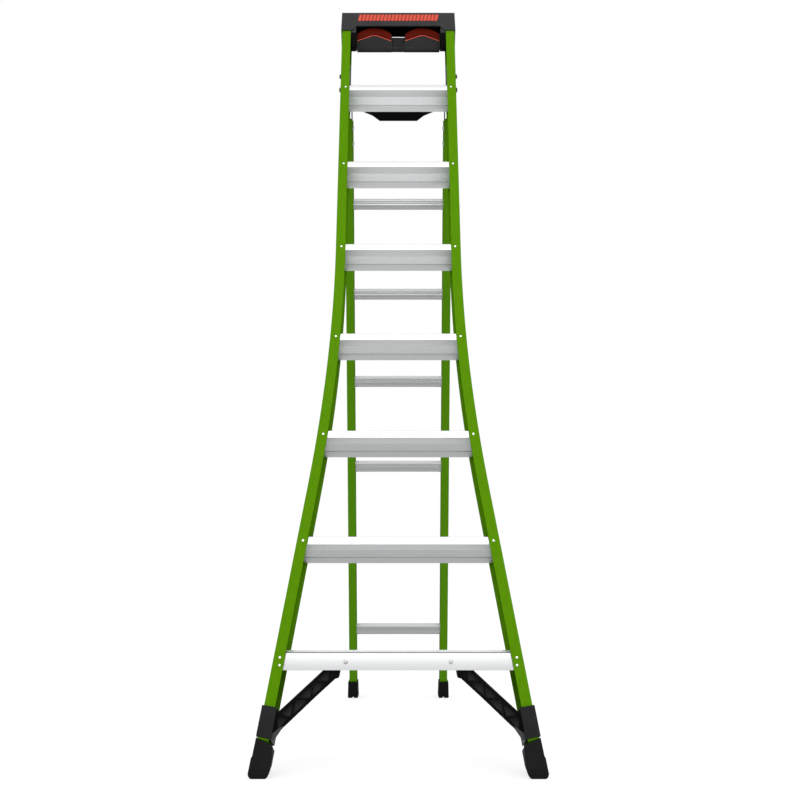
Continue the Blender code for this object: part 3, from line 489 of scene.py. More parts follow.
# %% [markdown]
# ## Heels of the braces
# Where a brace's lower edge meets its sleeve, a smooth gusset covers the ribs.  It is a thin
# plate: one outline, drawn at two depths and closed round its edge, in a lighter grey that
# paints the light the gusset catches.
# %% Brace heels
HEEL_OUTLINE = ((0.3085, 0.0965), (0.2870, 0.1125), (0.2762, 0.1156), (0.2837, 0.1084),
                (0.2985, 0.0866), (0.3085, 0.0825))
HEEL_DEPTHS = (0.0094, 0.0102)


def depth_plane(z, depth):
    """The Y of a point at a height, a distance behind the front section's face."""
    return FRONT_FOOT_Y + (depth + z * math.sin(LEAN)) / math.cos(LEAN)


def brace_heel(side):
    """A thin plate of the heel's outline, standing in front of the ribs."""
    solid = bmesh.new()
    rings = [[solid.verts.new((side * x, depth_plane(z, depth), z)) for x, z in HEEL_OUTLINE]
             for depth in HEEL_DEPTHS]
    for index in range(len(HEEL_OUTLINE)):
        after = (index + 1) % len(HEEL_OUTLINE)
        solid.faces.new((rings[0][index], rings[0][after], rings[1][after], rings[1][index]))
    solid.faces.new(rings[0])
    solid.faces.new(rings[1][::-1])
    bmesh.ops.recalc_face_normals(solid, faces=solid.faces)
    return mesh_from(solid, "brace_heel_mesh")


for label, side in SIDES:
    # The heel plate's lighter grey is painted light.
    settle("brace_heel_" + label, brace_heel(side), "front_section", lit_heel_plastic)
print("heel corners:", len(HEEL_OUTLINE))

# %% [markdown]
# ## Rounder boots
# The boots' lower corners are well rounded.  Every point near the floor moves towards the
# boot's middle, more the lower it is, so the tread keeps its length and narrows.
# %% Round the boots
BOOT_MIDDLE_X = 0.327
BOOT_ROUND_HEIGHT = 0.012
BOOT_ROUND_SHIFT = 0.0032
BOOT_HALF_WIDTH = 0.02
for label, side in SIDES:
    for vertex in softened["front_foot_" + label].data.vertices:
        low_share = max(0.0, 1.0 - vertex.co.z / BOOT_ROUND_HEIGHT)
        from_middle = vertex.co.x - side * BOOT_MIDDLE_X
        reach = max(-1.0, min(1.0, from_middle / BOOT_HALF_WIDTH))
        vertex.co.x -= reach * BOOT_ROUND_SHIFT * low_share ** 1.3
print("boots rounded below", BOOT_ROUND_HEIGHT, "m")

# %% [markdown]
# ## The flared rails
# A real rail is pulled through a die as one long C-channel, so its shape follows a rule: one
# section, moved along one line.  That suits Geometry Nodes.  The tree fillets a three-sided
# open curve, sweeps it up a straight line with many stations, and then moves each station
# sideways by the flare's own formula.  Last, it leans the rail.  First come the helpers that
# every tree here shares.
# %% Helpers for trees
RAIL_INPUTS = (("Length", 2.3), ("Start", -0.04), ("Half Width", 0.18), ("Flange", 0.028),
               ("Depth", 0.09), ("Corner Radius", 0.003), ("Flare Radius", 5.05),
               ("Flare Angle", 0.149), ("Flare Start", 1.5), ("Lean", 0.3), ("Foot Y", 0.0),
               ("Side", 1.0))


def new_tree(name, inputs, surface_input=True):
    """An empty Geometry Nodes tree with a mesh input, float inputs and a material input."""
    tree = bpy.data.node_groups.new(name, "GeometryNodeTree")
    tree.interface.new_socket("Geometry", in_out="INPUT", socket_type="NodeSocketGeometry")
    for label, value in inputs:
        socket = tree.interface.new_socket(label, in_out="INPUT", socket_type="NodeSocketFloat")
        socket.default_value = value
    if surface_input:
        tree.interface.new_socket("Surface", in_out="INPUT", socket_type="NodeSocketMaterial")
    tree.interface.new_socket("Geometry", in_out="OUTPUT", socket_type="NodeSocketGeometry")
    start = tree.nodes.new("NodeGroupInput")
    return tree, start.outputs


def close_tree(tree, geometry, surface):
    """End a tree as every tree here ends: real geometry, with its material set."""
    real = add_node(tree, "GeometryNodeRealizeInstances", {"Geometry": geometry})
    dressed = add_node(tree, "GeometryNodeSetMaterial",
                       {"Geometry": real.outputs["Geometry"], "Material": surface})
    end = tree.nodes.new("NodeGroupOutput")
    tree.links.new(dressed.outputs["Geometry"], end.inputs["Geometry"])


def point(tree, x=0.0, y=0.0, z=0.0):
    """A vector socket from three numbers or sockets."""
    return add_node(tree, "ShaderNodeCombineXYZ", {"X": x, "Y": y, "Z": z}).outputs["Vector"]


def grow(holder, tree, values, paint):
    """Put a tree on an object and set its inputs by their sockets' identifiers."""
    modifier = holder.modifiers.new(tree.name, "NODES")
    modifier.node_group = tree
    for item in tree.interface.items_tree:
        if item.in_out == "INPUT" and item.name in values:
            modifier[item.identifier] = float(values[item.name])
        if item.in_out == "INPUT" and item.name == "Surface":
            modifier[item.identifier] = paint


def grown(name, guide, tree, values, paint):
    """The mesh that a tree grows on a guide mesh."""
    holder = holder_with(name + "_guide", guide)
    grow(holder, tree, values, paint)
    return evaluated_mesh(holder, name + "_mesh")


print("rail inputs:", len(RAIL_INPUTS))

# %% [markdown]
# ## The rail's own tree
# The section is a curve through four points with its two corners filleted.  The line it is
# swept up has 72 stations, close enough together for the flare's arc to look smooth.
# %% The rail's own tree
RAIL_STATIONS = 72
rail_tree, given = new_tree("pulled_rail", RAIL_INPUTS)
section = add_node(rail_tree, "GeometryNodeCurvePrimitiveQuadrilateral", mode="POINTS")
for number, (x, y) in enumerate(((given["Flange"], 0.0), (0.0, 0.0), (0.0, given["Depth"]),
                                 (given["Flange"], given["Depth"]))):
    corner = point(rail_tree, x, y)
    rail_tree.links.new(corner, section.inputs["Point " + str(number + 1)])
opened = add_node(rail_tree, "GeometryNodeSetSplineCyclic",
                  {"Geometry": section.outputs["Curve"], "Cyclic": False})
rounded = add_node(rail_tree, "GeometryNodeFilletCurve",
                   {"Curve": opened.outputs["Geometry"], "Count": 4,
                    "Radius": given["Corner Radius"], "Limit Radius": True}, mode="POLY")
line = add_node(rail_tree, "GeometryNodeCurvePrimitiveLine",
                {"Start": point(rail_tree, 0.0, 0.0, given["Start"]),
                 "End": point(rail_tree, 0.0, 0.0,
                              math_node(rail_tree, "ADD", given["Start"], given["Length"]))})
stations = add_node(rail_tree, "GeometryNodeResampleCurve",
                    {"Curve": line.outputs["Curve"], "Count": RAIL_STATIONS})
swept = add_node(rail_tree, "GeometryNodeCurveToMesh",
                 {"Curve": stations.outputs["Curve"], "Profile Curve": rounded.outputs["Curve"]})
print("nodes so far:", len(rail_tree.nodes))

# %% [markdown]
# ## The flare inside the tree
# Below the flare's start the half-width grows: first along an arc, until the arc has turned
# through the flare's angle, and then along the straight line that leaves it.
# %% The flare inside the tree
where = add_node(rail_tree, "GeometryNodeInputPosition").outputs["Position"]
parts = add_node(rail_tree, "ShaderNodeSeparateXYZ", {"Vector": where}).outputs
sine = math_node(rail_tree, "SINE", given["Flare Angle"])
below = math_node(rail_tree, "SUBTRACT", given["Flare Start"], parts["Z"])
below = math_node(rail_tree, "MAXIMUM", below, 0.0)
turned = math_node(rail_tree, "MINIMUM", math_node(rail_tree, "DIVIDE", below,
                                                   given["Flare Radius"]), sine)
squared = math_node(rail_tree, "MULTIPLY", turned, turned)
cosine = math_node(rail_tree, "SQRT", math_node(rail_tree, "SUBTRACT", 1.0, squared))
bent = math_node(rail_tree, "MULTIPLY", given["Flare Radius"],
                 math_node(rail_tree, "SUBTRACT", 1.0, cosine))
beyond = math_node(rail_tree, "SUBTRACT", below,
                   math_node(rail_tree, "MULTIPLY", given["Flare Radius"], sine))
beyond = math_node(rail_tree, "MAXIMUM", beyond, 0.0)
straight = math_node(rail_tree, "MULTIPLY", beyond,
                     math_node(rail_tree, "TANGENT", given["Flare Angle"]))
edge = math_node(rail_tree, "ADD", given["Half Width"], math_node(rail_tree, "ADD", bent, straight))
edge = math_node(rail_tree, "SUBTRACT", edge, parts["X"])
moved = add_node(rail_tree, "GeometryNodeSetPosition",
                 {"Geometry": swept.outputs["Mesh"],
                  "Position": point(rail_tree, math_node(rail_tree, "MULTIPLY", edge,
                                                         given["Side"]),
                                    parts["Y"], parts["Z"])})
leaned = add_node(rail_tree, "GeometryNodeTransform",
                  {"Geometry": moved.outputs["Geometry"],
                   "Rotation": point(rail_tree, math_node(rail_tree, "MULTIPLY",
                                                          given["Lean"], -1.0)),
                   "Translation": point(rail_tree, 0.0, given["Foot Y"])})
close_tree(rail_tree, leaned.outputs["Geometry"], given["Surface"])
print("rail tree nodes:", len(rail_tree.nodes))

# %% [markdown]
# ## Four rails from one tree
# The sheet that the tree sweeps gets its wall from a Solidify modifier and its rounded flange
# edges from a Bevel.  A horizontal cut at the foot and under the cap trims the ends, which
# the boots and the cap hide.
# %% Four rails
RAIL_WALL = 0.0045
RAIL_EDGE_ROUND = 0.0007
REAR_FOOT_Y = 0.6842
FLARE_ANGLE = math.radians(8.54)
FLARE_RADIUS = 5.05
FLARE_START = 1.1256 + FLARE_RADIUS * math.tan(FLARE_ANGLE / 2)
FRONT_RAIL = {"Length": 2.50, "Start": -0.03, "Half Width": 0.1855, "Flange": 0.0285,
              "Depth": 0.092, "Flare Radius": FLARE_RADIUS, "Flare Angle": FLARE_ANGLE,
              "Flare Start": FLARE_START, "Lean": LEAN, "Foot Y": FRONT_FOOT_Y}
REAR_RAIL = {"Length": 2.0810, "Start": -0.02, "Half Width": 0.1789, "Flange": 0.0272,
             "Depth": 0.070, "Flare Radius": FLARE_RADIUS, "Flare Angle": 0.0,
             "Flare Start": 0.0, "Lean": -LEAN, "Foot Y": REAR_FOOT_Y}


def slice_level(mesh, height, keep_above):
    """Cut a mesh with a horizontal plane, drop one side and close the cut."""
    cutting = bmesh.new()
    cutting.from_mesh(mesh)
    rim = bisected(cutting, (0, 0, height), (0, 0, 1), clear_outer=not keep_above,
                   clear_inner=keep_above)
    bmesh.ops.edgeloop_fill(cutting, edges=rim)
    bmesh.ops.recalc_face_normals(cutting, faces=cutting.faces)
    cutting.to_mesh(mesh)
    cutting.free()


def make_rail(node, body, side, sizes, paint):
    """Grow one rail, thicken it, trim it to its node's height, and let it stand for it."""
    holder = holder_with(node + "_sheet", bpy.data.meshes.new(node + "_line"))
    grow(holder, rail_tree, dict(sizes, Side=side), paint)
    wall = holder.modifiers.new("wall", "SOLIDIFY")
    wall.thickness = RAIL_WALL
    wall.offset = -side
    wall.use_even_offset = True
    edges = holder.modifiers.new("flange_edges", "BEVEL")
    edges.width = RAIL_EDGE_ROUND
    edges.segments = 2
    edges.limit_method = "ANGLE"
    edges.angle_limit = math.radians(60)
    mesh = evaluated_mesh(holder, node + "_mesh")
    low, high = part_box(node)
    slice_level(mesh, low.z, True)
    if body == "front_section":
        slice_level(mesh, high.z, False)
    rail = settle(node + "_channel", mesh, body, paint, (node,))
    near, far = Vector(rail.bound_box[0]), Vector(rail.bound_box[6])
    print(rail.name, "faces:", len(mesh.polygons), "| x", [round(near.x, 4), round(far.x, 4)],
          "| node x", [round(low.x, 4), round(high.x, 4)])
    return rail


front_rails = {}
for label, side in SIDES:
    front_rails[label] = make_rail("front_rail_" + label, "front_section", side, FRONT_RAIL,
                                   front_green)
    make_rail("rear_rail_" + label, "rear_section", side, REAR_RAIL, rear_green)


# %% [markdown]
# ## Where things are on a leaning ladder
# Rivets and steps are placed as a ladder maker would: by the distance up a rail and the depth
# behind its front face.  These functions turn that into world places and back, and give the
# flared section's half-width.
# %% Places on the two sections
def front_place(along, depth):
    """World Y and Z of a place on the front section."""
    return (FRONT_FOOT_Y + along * math.sin(LEAN) + depth * math.cos(LEAN),
            along * math.cos(LEAN) - depth * math.sin(LEAN))


def rear_place(along, depth):
    """World Y and Z of a place on the rear section."""
    return (REAR_FOOT_Y - along * math.sin(LEAN) + depth * math.cos(LEAN),
            along * math.cos(LEAN) + depth * math.sin(LEAN))


def half_width(along):
    """Half the front section's width, the same rule as in the rail's tree."""
    below = max(0.0, FLARE_START - along)
    turned = min(below / FLARE_RADIUS, math.sin(FLARE_ANGLE))
    beyond = max(0.0, below - FLARE_RADIUS * math.sin(FLARE_ANGLE))
    return (FRONT_RAIL["Half Width"] + FLARE_RADIUS * (1 - math.sqrt(1 - turned * turned))
            + beyond * math.tan(FLARE_ANGLE))


def flare_slope(along):
    """How fast the half-width grows downward at a point, as a tangent."""
    return (half_width(along - 0.001) - half_width(along + 0.001)) / 0.002


def along_of(y, z):
    """How far up the front section's slope a point lies."""
    return (y - FRONT_FOOT_Y) * math.sin(LEAN) + z * math.cos(LEAN)


def rear_along(place):
    """How far up the rear section's slope a point lies."""
    return (REAR_FOOT_Y - place.y) * math.sin(LEAN) + place.z * math.cos(LEAN)


print("half-width at the floor:", round(half_width(0.0), 4), "m")

# %% [markdown]
# ## Shaded parts of the rails
# The inner edges of the flanges get painted shade, darker than the resin's face, and so does
# the strip of rail that shows between sleeve and boot, just above the boot.  For that strip the
# rail is cut along a plane parallel to the sleeve's lower edge.
# %% Shaded parts of the rails
SLEEVE_LOW = 0.0985
SLEEVE_EDGE_X = 0.3400
SLEEVE_SLANT = 0.26
SHADE_BELOW_SLEEVE = 0.0040


def shade_rail(rail, side):
    """Paint shade on a front rail's flange edges and on the strip above its boot."""
    down = Vector((side * SLEEVE_SLANT, -math.sin(LEAN), -math.cos(LEAN))).normalized()
    start = Vector((side * SLEEVE_EDGE_X, *front_place(SLEEVE_LOW, 0)))
    start += down * SHADE_BELOW_SLEEVE
    cutting = bmesh.new()
    cutting.from_mesh(rail.data)
    bisected(cutting, start, down)
    cutting.to_mesh(rail.data)
    cutting.free()

    def in_shade(centre, normal):
        inner = half_width(along_of(centre.y, centre.z)) - FRONT_RAIL["Flange"] / 2
        return ((centre - start).dot(down) > 0
                or (normal.x * side < -0.5 and abs(centre.x) < inner))

    # Painted shade on these faces.
    paint_faces(rail, shade_green, in_shade)


for label, side in SIDES:
    shade_rail(front_rails[label], side)

# %% [markdown]
# ## Steps
# Each step is an aluminium extrusion: a flat lip in front, a level ribbed tread, and a sloping
# apron below in three bands, the middle one sunk.  We draw the side view once, round its
# corners, and pull it between the two rails; its ends follow their flare.
# %% Round an outline's corners
TREAD_DEPTH = 0.0762
APRON_DROP = 0.050
BAND_STARTS = (0.30, 0.70)
BAND_SINK = 0.0016
END_GAP = RAIL_WALL + 0.0003


def fillet(outline, radii, segments=4):
    """Round the corners of a closed (y, z) outline, each by its own radius."""
    smooth = []
    count = len(outline)
    for index, radius in enumerate(radii):
        here = Vector(outline[index])
        before = (Vector(outline[index - 1]) - here)
        after = (Vector(outline[(index + 1) % count]) - here)
        angle = before.angle(after)
        if radius <= 0 or angle > math.radians(179):
            smooth.append(here)
            continue
        reach = min(radius / math.tan(angle / 2), before.length * 0.45, after.length * 0.45)
        radius = reach * math.tan(angle / 2)
        first, last = here + before.normalized() * reach, here + after.normalized() * reach
        middle = here + (before.normalized() + after.normalized()).normalized() * (
            radius / math.sin(angle / 2))
        start, end = first - middle, last - middle
        for step in range(segments + 1):
            share = step / segments
            smooth.append(middle + start.slerp(end, share) * start.length)
    return [(spot.x, spot.y) for spot in smooth]


square = [(0, 0), (1, 0), (1, 1), (0, 1)]
print("a square with round corners has", len(fillet(square, [0.1] * 4)), "points")

# %% [markdown]
# ## The two step outlines
# The upper steps are closed boxes with a sunk band below.  The lowest one is a tread between
# two deep flanges, open underneath, so that the braces' tabs can be bolted inside it.
# %% Two step outlines
BOTTOM_STEP_WALL = 0.0024
APRON_RADII = [0.0009, 0.0022, 0.0016, 0.0014, 0.0004, 0.0004, 0.0004, 0.0004]
FLANGE_RADII = [0.0006, 0.0020, 0.0020, 0.0006, 0.0006, 0.0, 0.0, 0.0006]


def step_corners(low, top_z, drop):
    """Lip foot, lip top, tread end and heel of a step, from its measured box."""
    lip_foot = (low.y, low.z + drop)
    lip_top = (low.y + (top_z - lip_foot[1]) * math.tan(LEAN), top_z)
    tread_end = (lip_top[0] + TREAD_DEPTH, top_z)
    heel = (low.y - drop * math.tan(LEAN) + TREAD_DEPTH, low.z)
    return lip_foot, lip_top, tread_end, heel


def apron_step(low, top_z):
    """Side view of an upper step; the sunk middle band runs between two small slopes."""
    lip_foot, lip_top, tread_end, heel = step_corners(low, top_z, APRON_DROP)
    toe, back = Vector(lip_foot), Vector(heel)
    run = back - toe
    inward = Vector((-run.y, run.x)).normalized() * BAND_SINK
    if inward.y < 0:
        inward = -inward
    ease = run.normalized() * BAND_SINK
    first, last = (toe + run * share for share in BAND_STARTS)
    apron = [last, last + inward - ease, first + inward + ease, first]
    outline = [lip_foot, lip_top, tread_end, heel] + [tuple(spot) for spot in apron]
    return outline, APRON_RADII


def bottom_step(low, top_z):
    """Side view of the lowest step: a tread between two deep flanges, open underneath."""
    lip_foot, lip_top, tread_end, heel = step_corners(low, top_z, 0.0)
    wall, lean = BOTTOM_STEP_WALL, math.tan(LEAN)
    slant = wall / math.cos(LEAN)
    under = top_z - wall
    outline = [lip_foot, lip_top, tread_end, heel, (heel[0] - slant, heel[1]),
               (tread_end[0] - slant - wall * lean, under),
               (lip_top[0] + slant - wall * lean, under), (lip_foot[0] + slant, lip_foot[1])]
    return outline, FLANGE_RADII


print("outline corners:", len(APRON_RADII), "above,", len(FLANGE_RADII), "on the lowest step")

# %% [markdown]
# ## Finish and make the steps
# Each face's finish follows from where it is and which way it faces.  Its grey paints light and
# shade: lighter on the lip, the tread and the lowest step's face, darker in the creases and
# along the lowest step's front corner.
# %% Finish and make the steps
STEP_PAINTS = {"plain": step_metal, "lip": lit_lip_metal, "band": band_metal, "heel": heel_metal,
               "crease": crease_shade_metal, "corner_shade": corner_shade_metal, "face": lit_face_metal,
               "tread": lit_tread_metal}
END_SHARES = (-1.0, -0.94, 0.94, 1.0)


def step_finish(face, node, sunk, lip_foot_z):
    """Name of the finish for a face of a step; its grey paints light or shade by the face's place
    and facing.
    """
    centre, normal = face.calc_center_median(), face.normal
    faces_climber = normal.y < -0.86 and normal.z > -0.2
    if abs(normal.x) > 0.5:
        return "plain"
    if normal.z > 0.93:
        return "tread"
    if node == "bottom_step":
        if faces_climber:
            return "face"
        # The lowest step's front corner gets the darkest grey: painted shade.
        return "corner_shade" if normal.y < -0.05 and normal.z > 0.35 else "plain"
    if faces_climber:
        # Crease faces get a darker grey: painted shade.
        return "lip" if centre.z > lip_foot_z else "crease"
    low, high = sorted(spot.y for spot in sunk)
    if normal.z > -0.3 or centre.z > high:
        return "plain"
    return "band" if centre.z > low else "heel"


def make_step(node, drawing):
    """Pull a side view between the rails; each face gets the finish of its place, whose grey paints
    light or shade.
    """
    low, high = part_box(node)
    corners, radii = drawing(low, high.z)
    outline = fillet(corners, radii)
    solid = bmesh.new()
    rings = []
    for share in END_SHARES:
        rings.append([solid.verts.new((share * (half_width(along_of(y, z)) - END_GAP), y, z))
                      for y, z in outline])
    for ring, following in zip(rings, rings[1:]):
        for index in range(len(ring)):
            after = (index + 1) % len(ring)
            solid.faces.new((ring[index], ring[after], following[after], following[index]))
    solid.faces.new(rings[0][::-1])
    solid.faces.new(rings[-1])
    bmesh.ops.recalc_face_normals(solid, faces=solid.faces)
    solid.normal_update()
    sunk = [Vector(spot) for spot in corners[5:7]]
    finishes = list(STEP_PAINTS)
    for face in solid.faces:
        face.material_index = finishes.index(step_finish(face, node, sunk, corners[0][1]))
    mesh = mesh_from(solid, node + "_mesh")
    for paint in STEP_PAINTS.values():
        mesh.materials.append(paint)
    return settle(node + "_extrusion", mesh, "front_section", step_metal, (node,), 20)


UPPER_STEPS = ["step_" + str(number + 1) for number in range(6)]
for node in UPPER_STEPS:
    print(make_step(node, apron_step).name, "made")
print(make_step("bottom_step", bottom_step).name, "made")

# %% [markdown]
# ## Tread ribs
# Treads are ribbed for grip.  One bar, repeated back from the lip, is a job for Geometry
# Nodes: a grid of points, one instance on each.  Long bars with narrow gaps between them give
# both the ribs and the notches that bite into a sole.
# %% Rib tree
RIB_INPUTS = (("Length", 0.34), ("Rows", 12.0), ("Pitch", 0.0058), ("Bar Width", 0.0026),
              ("Bar Height", 0.0008), ("Bar Length", 0.0445), ("Gap", 0.0016), ("Front Y", 0.0),
              ("Top Z", 0.0))
rib_tree, given = new_tree("tread_ribs", RIB_INPUTS)
bar_pitch = math_node(rib_tree, "ADD", given["Bar Length"], given["Gap"])
columns = math_node(rib_tree, "FLOOR", math_node(rib_tree, "DIVIDE", given["Length"], bar_pitch))
spread_x = math_node(rib_tree, "MULTIPLY", math_node(rib_tree, "SUBTRACT", columns, 1.0), bar_pitch)
spread_y = math_node(rib_tree, "MULTIPLY", math_node(rib_tree, "SUBTRACT", given["Rows"], 1.0),
                     given["Pitch"])
plots = add_node(rib_tree, "GeometryNodeMeshGrid",
                 {"Size X": spread_x, "Size Y": spread_y, "Vertices X": columns,
                  "Vertices Y": given["Rows"]})
bar = add_node(rib_tree, "GeometryNodeMeshCube",
               {"Size": point(rib_tree, given["Bar Length"], given["Bar Width"],
                              math_node(rib_tree, "MULTIPLY", given["Bar Height"], 2.0))})
bars = add_node(rib_tree, "GeometryNodeInstanceOnPoints",
                {"Points": plots.outputs["Mesh"], "Instance": bar.outputs["Mesh"]})
half_y = math_node(rib_tree, "MULTIPLY", spread_y, 0.5)
raised = add_node(rib_tree, "GeometryNodeTransform",
                  {"Geometry": bars.outputs["Instances"],
                   "Translation": point(rib_tree, 0.0,
                                        math_node(rib_tree, "ADD", given["Front Y"], half_y),
                                        given["Top Z"])})
close_tree(rib_tree, raised.outputs["Geometry"], given["Surface"])
print("rib tree nodes:", len(rib_tree.nodes))

# %% [markdown]
# ## Ribs on every tread
# The tree runs once for each step, with that step's width and height, and the bars of all
# seven are joined into one piece.
# %% Ribs on every tread
def joined(name, meshes):
    """One mesh from several that share a material."""
    whole = bmesh.new()
    for mesh in meshes:
        whole.from_mesh(mesh)
    result = mesh_from(whole, name)
    result.materials.append(meshes[0].materials[0])
    for mesh in meshes:
        bpy.data.meshes.remove(mesh)
    return result


RIB_END_MARGIN = 0.004
FIRST_RIB = 0.006
rib_rows = []
for node in UPPER_STEPS + ["bottom_step"]:
    low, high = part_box(node)
    drop = APRON_DROP if node != "bottom_step" else 0.0
    lip_top = step_corners(low, high.z, drop)[1]
    reach = half_width(along_of(lip_top[0], high.z)) - END_GAP - RIB_END_MARGIN
    values = {"Length": 2 * reach, "Front Y": lip_top[0] + FIRST_RIB, "Top Z": high.z}
    rib_rows.append(grown(node + "_ribs", bpy.data.meshes.new(node + "_plots"), rib_tree, values,
                          lit_tread_metal))
ribs = settle("tread_ribs", joined("tread_rib_mesh", rib_rows), "front_section", lit_tread_metal)
print("tread rib faces:", len(ribs.data.polygons))

# %% [markdown]
# ## Rivets
# The ladder is held together by rivets: each step is riveted through the front flange and the
# web of its rail, each rung through the web behind.  A tree puts a domed head on every vertex
# of a guide mesh and turns it to face along that vertex's stored direction.
# %% Rivet tree
rivet_tree, given = new_tree("rivet_heads", (("Head Radius", 0.0034), ("Head Height", 0.0014)))
ball = add_node(rivet_tree, "GeometryNodeMeshUVSphere",
                {"Segments": 20, "Rings": 10, "Radius": given["Head Radius"]})
flatness = math_node(rivet_tree, "DIVIDE", given["Head Height"], given["Head Radius"])
dome = add_node(rivet_tree, "GeometryNodeTransform",
                {"Geometry": ball.outputs["Mesh"], "Scale": point(rivet_tree, 1.0, 1.0, flatness)})
collar = add_node(rivet_tree, "GeometryNodeMeshCylinder",
                  {"Vertices": 20, "Radius": math_node(rivet_tree, "MULTIPLY",
                                                       given["Head Radius"], 1.12),
                   "Depth": math_node(rivet_tree, "MULTIPLY", given["Head Height"], 0.5)})
head = add_node(rivet_tree, "GeometryNodeJoinGeometry")
rivet_tree.links.new(collar.outputs["Mesh"], head.inputs["Geometry"])
rivet_tree.links.new(dome.outputs["Geometry"], head.inputs["Geometry"])
facing = add_node(rivet_tree, "GeometryNodeInputNamedAttribute", {"Name": "facing"},
                  data_type="FLOAT_VECTOR")
turn = add_node(rivet_tree, "FunctionNodeAlignRotationToVector",
                {"Vector": facing.outputs["Attribute"]}, axis="Z")
heads = add_node(rivet_tree, "GeometryNodeInstanceOnPoints",
                 {"Points": given["Geometry"], "Instance": head.outputs["Geometry"],
                  "Rotation": turn.outputs["Rotation"]})
close_tree(rivet_tree, heads.outputs["Instances"], given["Surface"])
print("rivet tree nodes:", len(rivet_tree.nodes))

# %% [markdown]
# ## Where the rivets sit
# Rivets follow the steps' pitch up the rails.  Two more pairs sit lower down, where the lowest
# step's flange is riveted to the rail.
# %% Rivet rows
def rivet_row(name, body, spots, paint, radius, height):
    """Grow rivet heads on (place, direction) pairs as one piece."""
    guide = bpy.data.meshes.new(name + "_guide")
    guide.from_pydata([place for place, facing in spots], [], [])
    stored = guide.attributes.new("facing", "FLOAT_VECTOR", "POINT")
    for index, (place, direction) in enumerate(spots):
        stored.data[index].vector = Vector(direction).normalized()
    sizes = {"Head Radius": radius, "Head Height": height}
    row = settle(name, grown(name, guide, rivet_tree, sizes, paint), body, paint)
    print(name, len(spots), "heads")
    return row


STEP_PITCH = 0.3048
TOP_LIP_ALONG = 2.1088
FRONT_FACING = (0, -math.cos(LEAN), math.sin(LEAN))
ABOVE_LIP = 0.0095
FLANGE_INSET = 0.0167
WEB_RIVETS = ((-0.012, 0.062), (0.010, 0.022))
LOW_RIVETS = ((0.2893, 0.0160), (0.2702, 0.0190))
RUNG_RIVETS_ALONG = 1.8013 - 0.018
RUNG_RIVET_DEPTHS = (0.022, 0.040)
flange_spots, web_spots = [], []
for number in range(6):
    lip = TOP_LIP_ALONG - STEP_PITCH * number
    for label, side in SIDES:
        along = lip + ABOVE_LIP
        flange_spots.append(((side * (half_width(along) - FLANGE_INSET),
                              *front_place(along, 0.0)), FRONT_FACING))
        for rise, depth in WEB_RIVETS:
            along = lip + rise
            web_spots.append(((side * half_width(along), *front_place(along, depth)),
                              (side, 0, flare_slope(along))))
for along, inset in LOW_RIVETS:
    for label, side in SIDES:
        flange_spots.append(((side * (half_width(along) - inset), *front_place(along, 0.0)),
                             FRONT_FACING))
rivet_row("flange_rivets", "front_section", flange_spots, rivet_metal, 0.0026, 0.0014)
rivet_row("web_rivets", "front_section", web_spots, rivet_metal, 0.0046, 0.0010)
top_bolts = [((side * 0.1855, -0.0200, 1.9990), (side, 0, 0)) for label, side in SIDES]
rivet_row("top_step_bolts", "front_section", top_bolts, head_paint, 0.0060, 0.0040)
rung_spots = []
for number in range(6):
    along = RUNG_RIVETS_ALONG - STEP_PITCH * number
    for label, side in SIDES:
        for depth in RUNG_RIVET_DEPTHS:
            rung_spots.append(((side * REAR_RAIL["Half Width"], *rear_place(along, depth)),
                               (side, 0, 0)))
rivet_row("rung_rivets", "rear_section", rung_spots, rivet_metal, 0.0042, 0.0020)

# %% [markdown]
# ## Everything that keeps its measured shape
# Bolts, nuts, arms and axle are right as they are.  They only need their finish, so the
# measured nodes stay and each gets a detailed material.
# %% Finishes on carried nodes
KEPT_PAIRS = {"brace_bolt_": zinc, "block_screw_": head_paint, "pivot_bolt_": head_paint,
              "pivot_nut_": zinc, "stop_pin_": zinc, "hinge_arm_": dark_steel,
              "arm_bolt_upper_": zinc, "arm_bolt_lower_": zinc}
KEPT = {start + label: paint for label, side in SIDES for start, paint in KEPT_PAIRS.items()}
KEPT["pad_axle"] = zinc
for node, paint in KEPT.items():
    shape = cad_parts[node].data
    shape.materials.clear()
    shape.materials.append(paint)
print("carried nodes:", len(KEPT))

# %% [markdown]
# ## Rungs and wall pads
# A rung's crest, where it faces the sky, gets a lighter grey: a painted highlight.  A wall pad's
# sides, which lie in the shade of its carrier, get painted shade.
# %% Rungs and wall pads
RUNG_CREST = 0.0060
for number in range(6):
    rung = soften("rung_" + str(number + 1), "rear_section", rung_metal, 0.0)
    crest = max(rear_along(vertex.co) for vertex in rung.data.vertices) - RUNG_CREST
    # Painted highlight along the rung's crest.
    paint_faces(rung, lit_rung_crest_metal,
                lambda centre, normal, crest=crest: rear_along(centre) > crest)
for label, side in SIDES:
    pad = soften("wall_pad_" + label, "wall_pad", pad_rubber, 0.0010)
    # Painted shade on the pad's sides.
    paint_faces(pad, black_and_shade_plastic, lambda centre, normal: abs(normal.x) > 0.9)
print("rungs and pads: 8 copies")

# %% [markdown]
# ## Beads
# Mouldings carry thin raised lines: a rim round each red pad, a lip along the carrier, grip
# lines round each boot.  One tree makes them all: it turns the edges of a guide mesh into
# curves and sweeps a small round section along them.
# %% Bead tree
bead_tree, given = new_tree("raised_beads", (("Bead Radius", 0.001),))
lines = add_node(bead_tree, "GeometryNodeMeshToCurve", {"Mesh": given["Geometry"]})
ring = add_node(bead_tree, "GeometryNodeCurvePrimitiveCircle",
                {"Resolution": 8, "Radius": given["Bead Radius"]})
bead = add_node(bead_tree, "GeometryNodeCurveToMesh",
                {"Curve": lines.outputs["Curve"], "Profile Curve": ring.outputs["Curve"],
                 "Fill Caps": True})
close_tree(bead_tree, bead.outputs["Mesh"], given["Surface"])
print("bead tree nodes:", len(bead_tree.nodes))


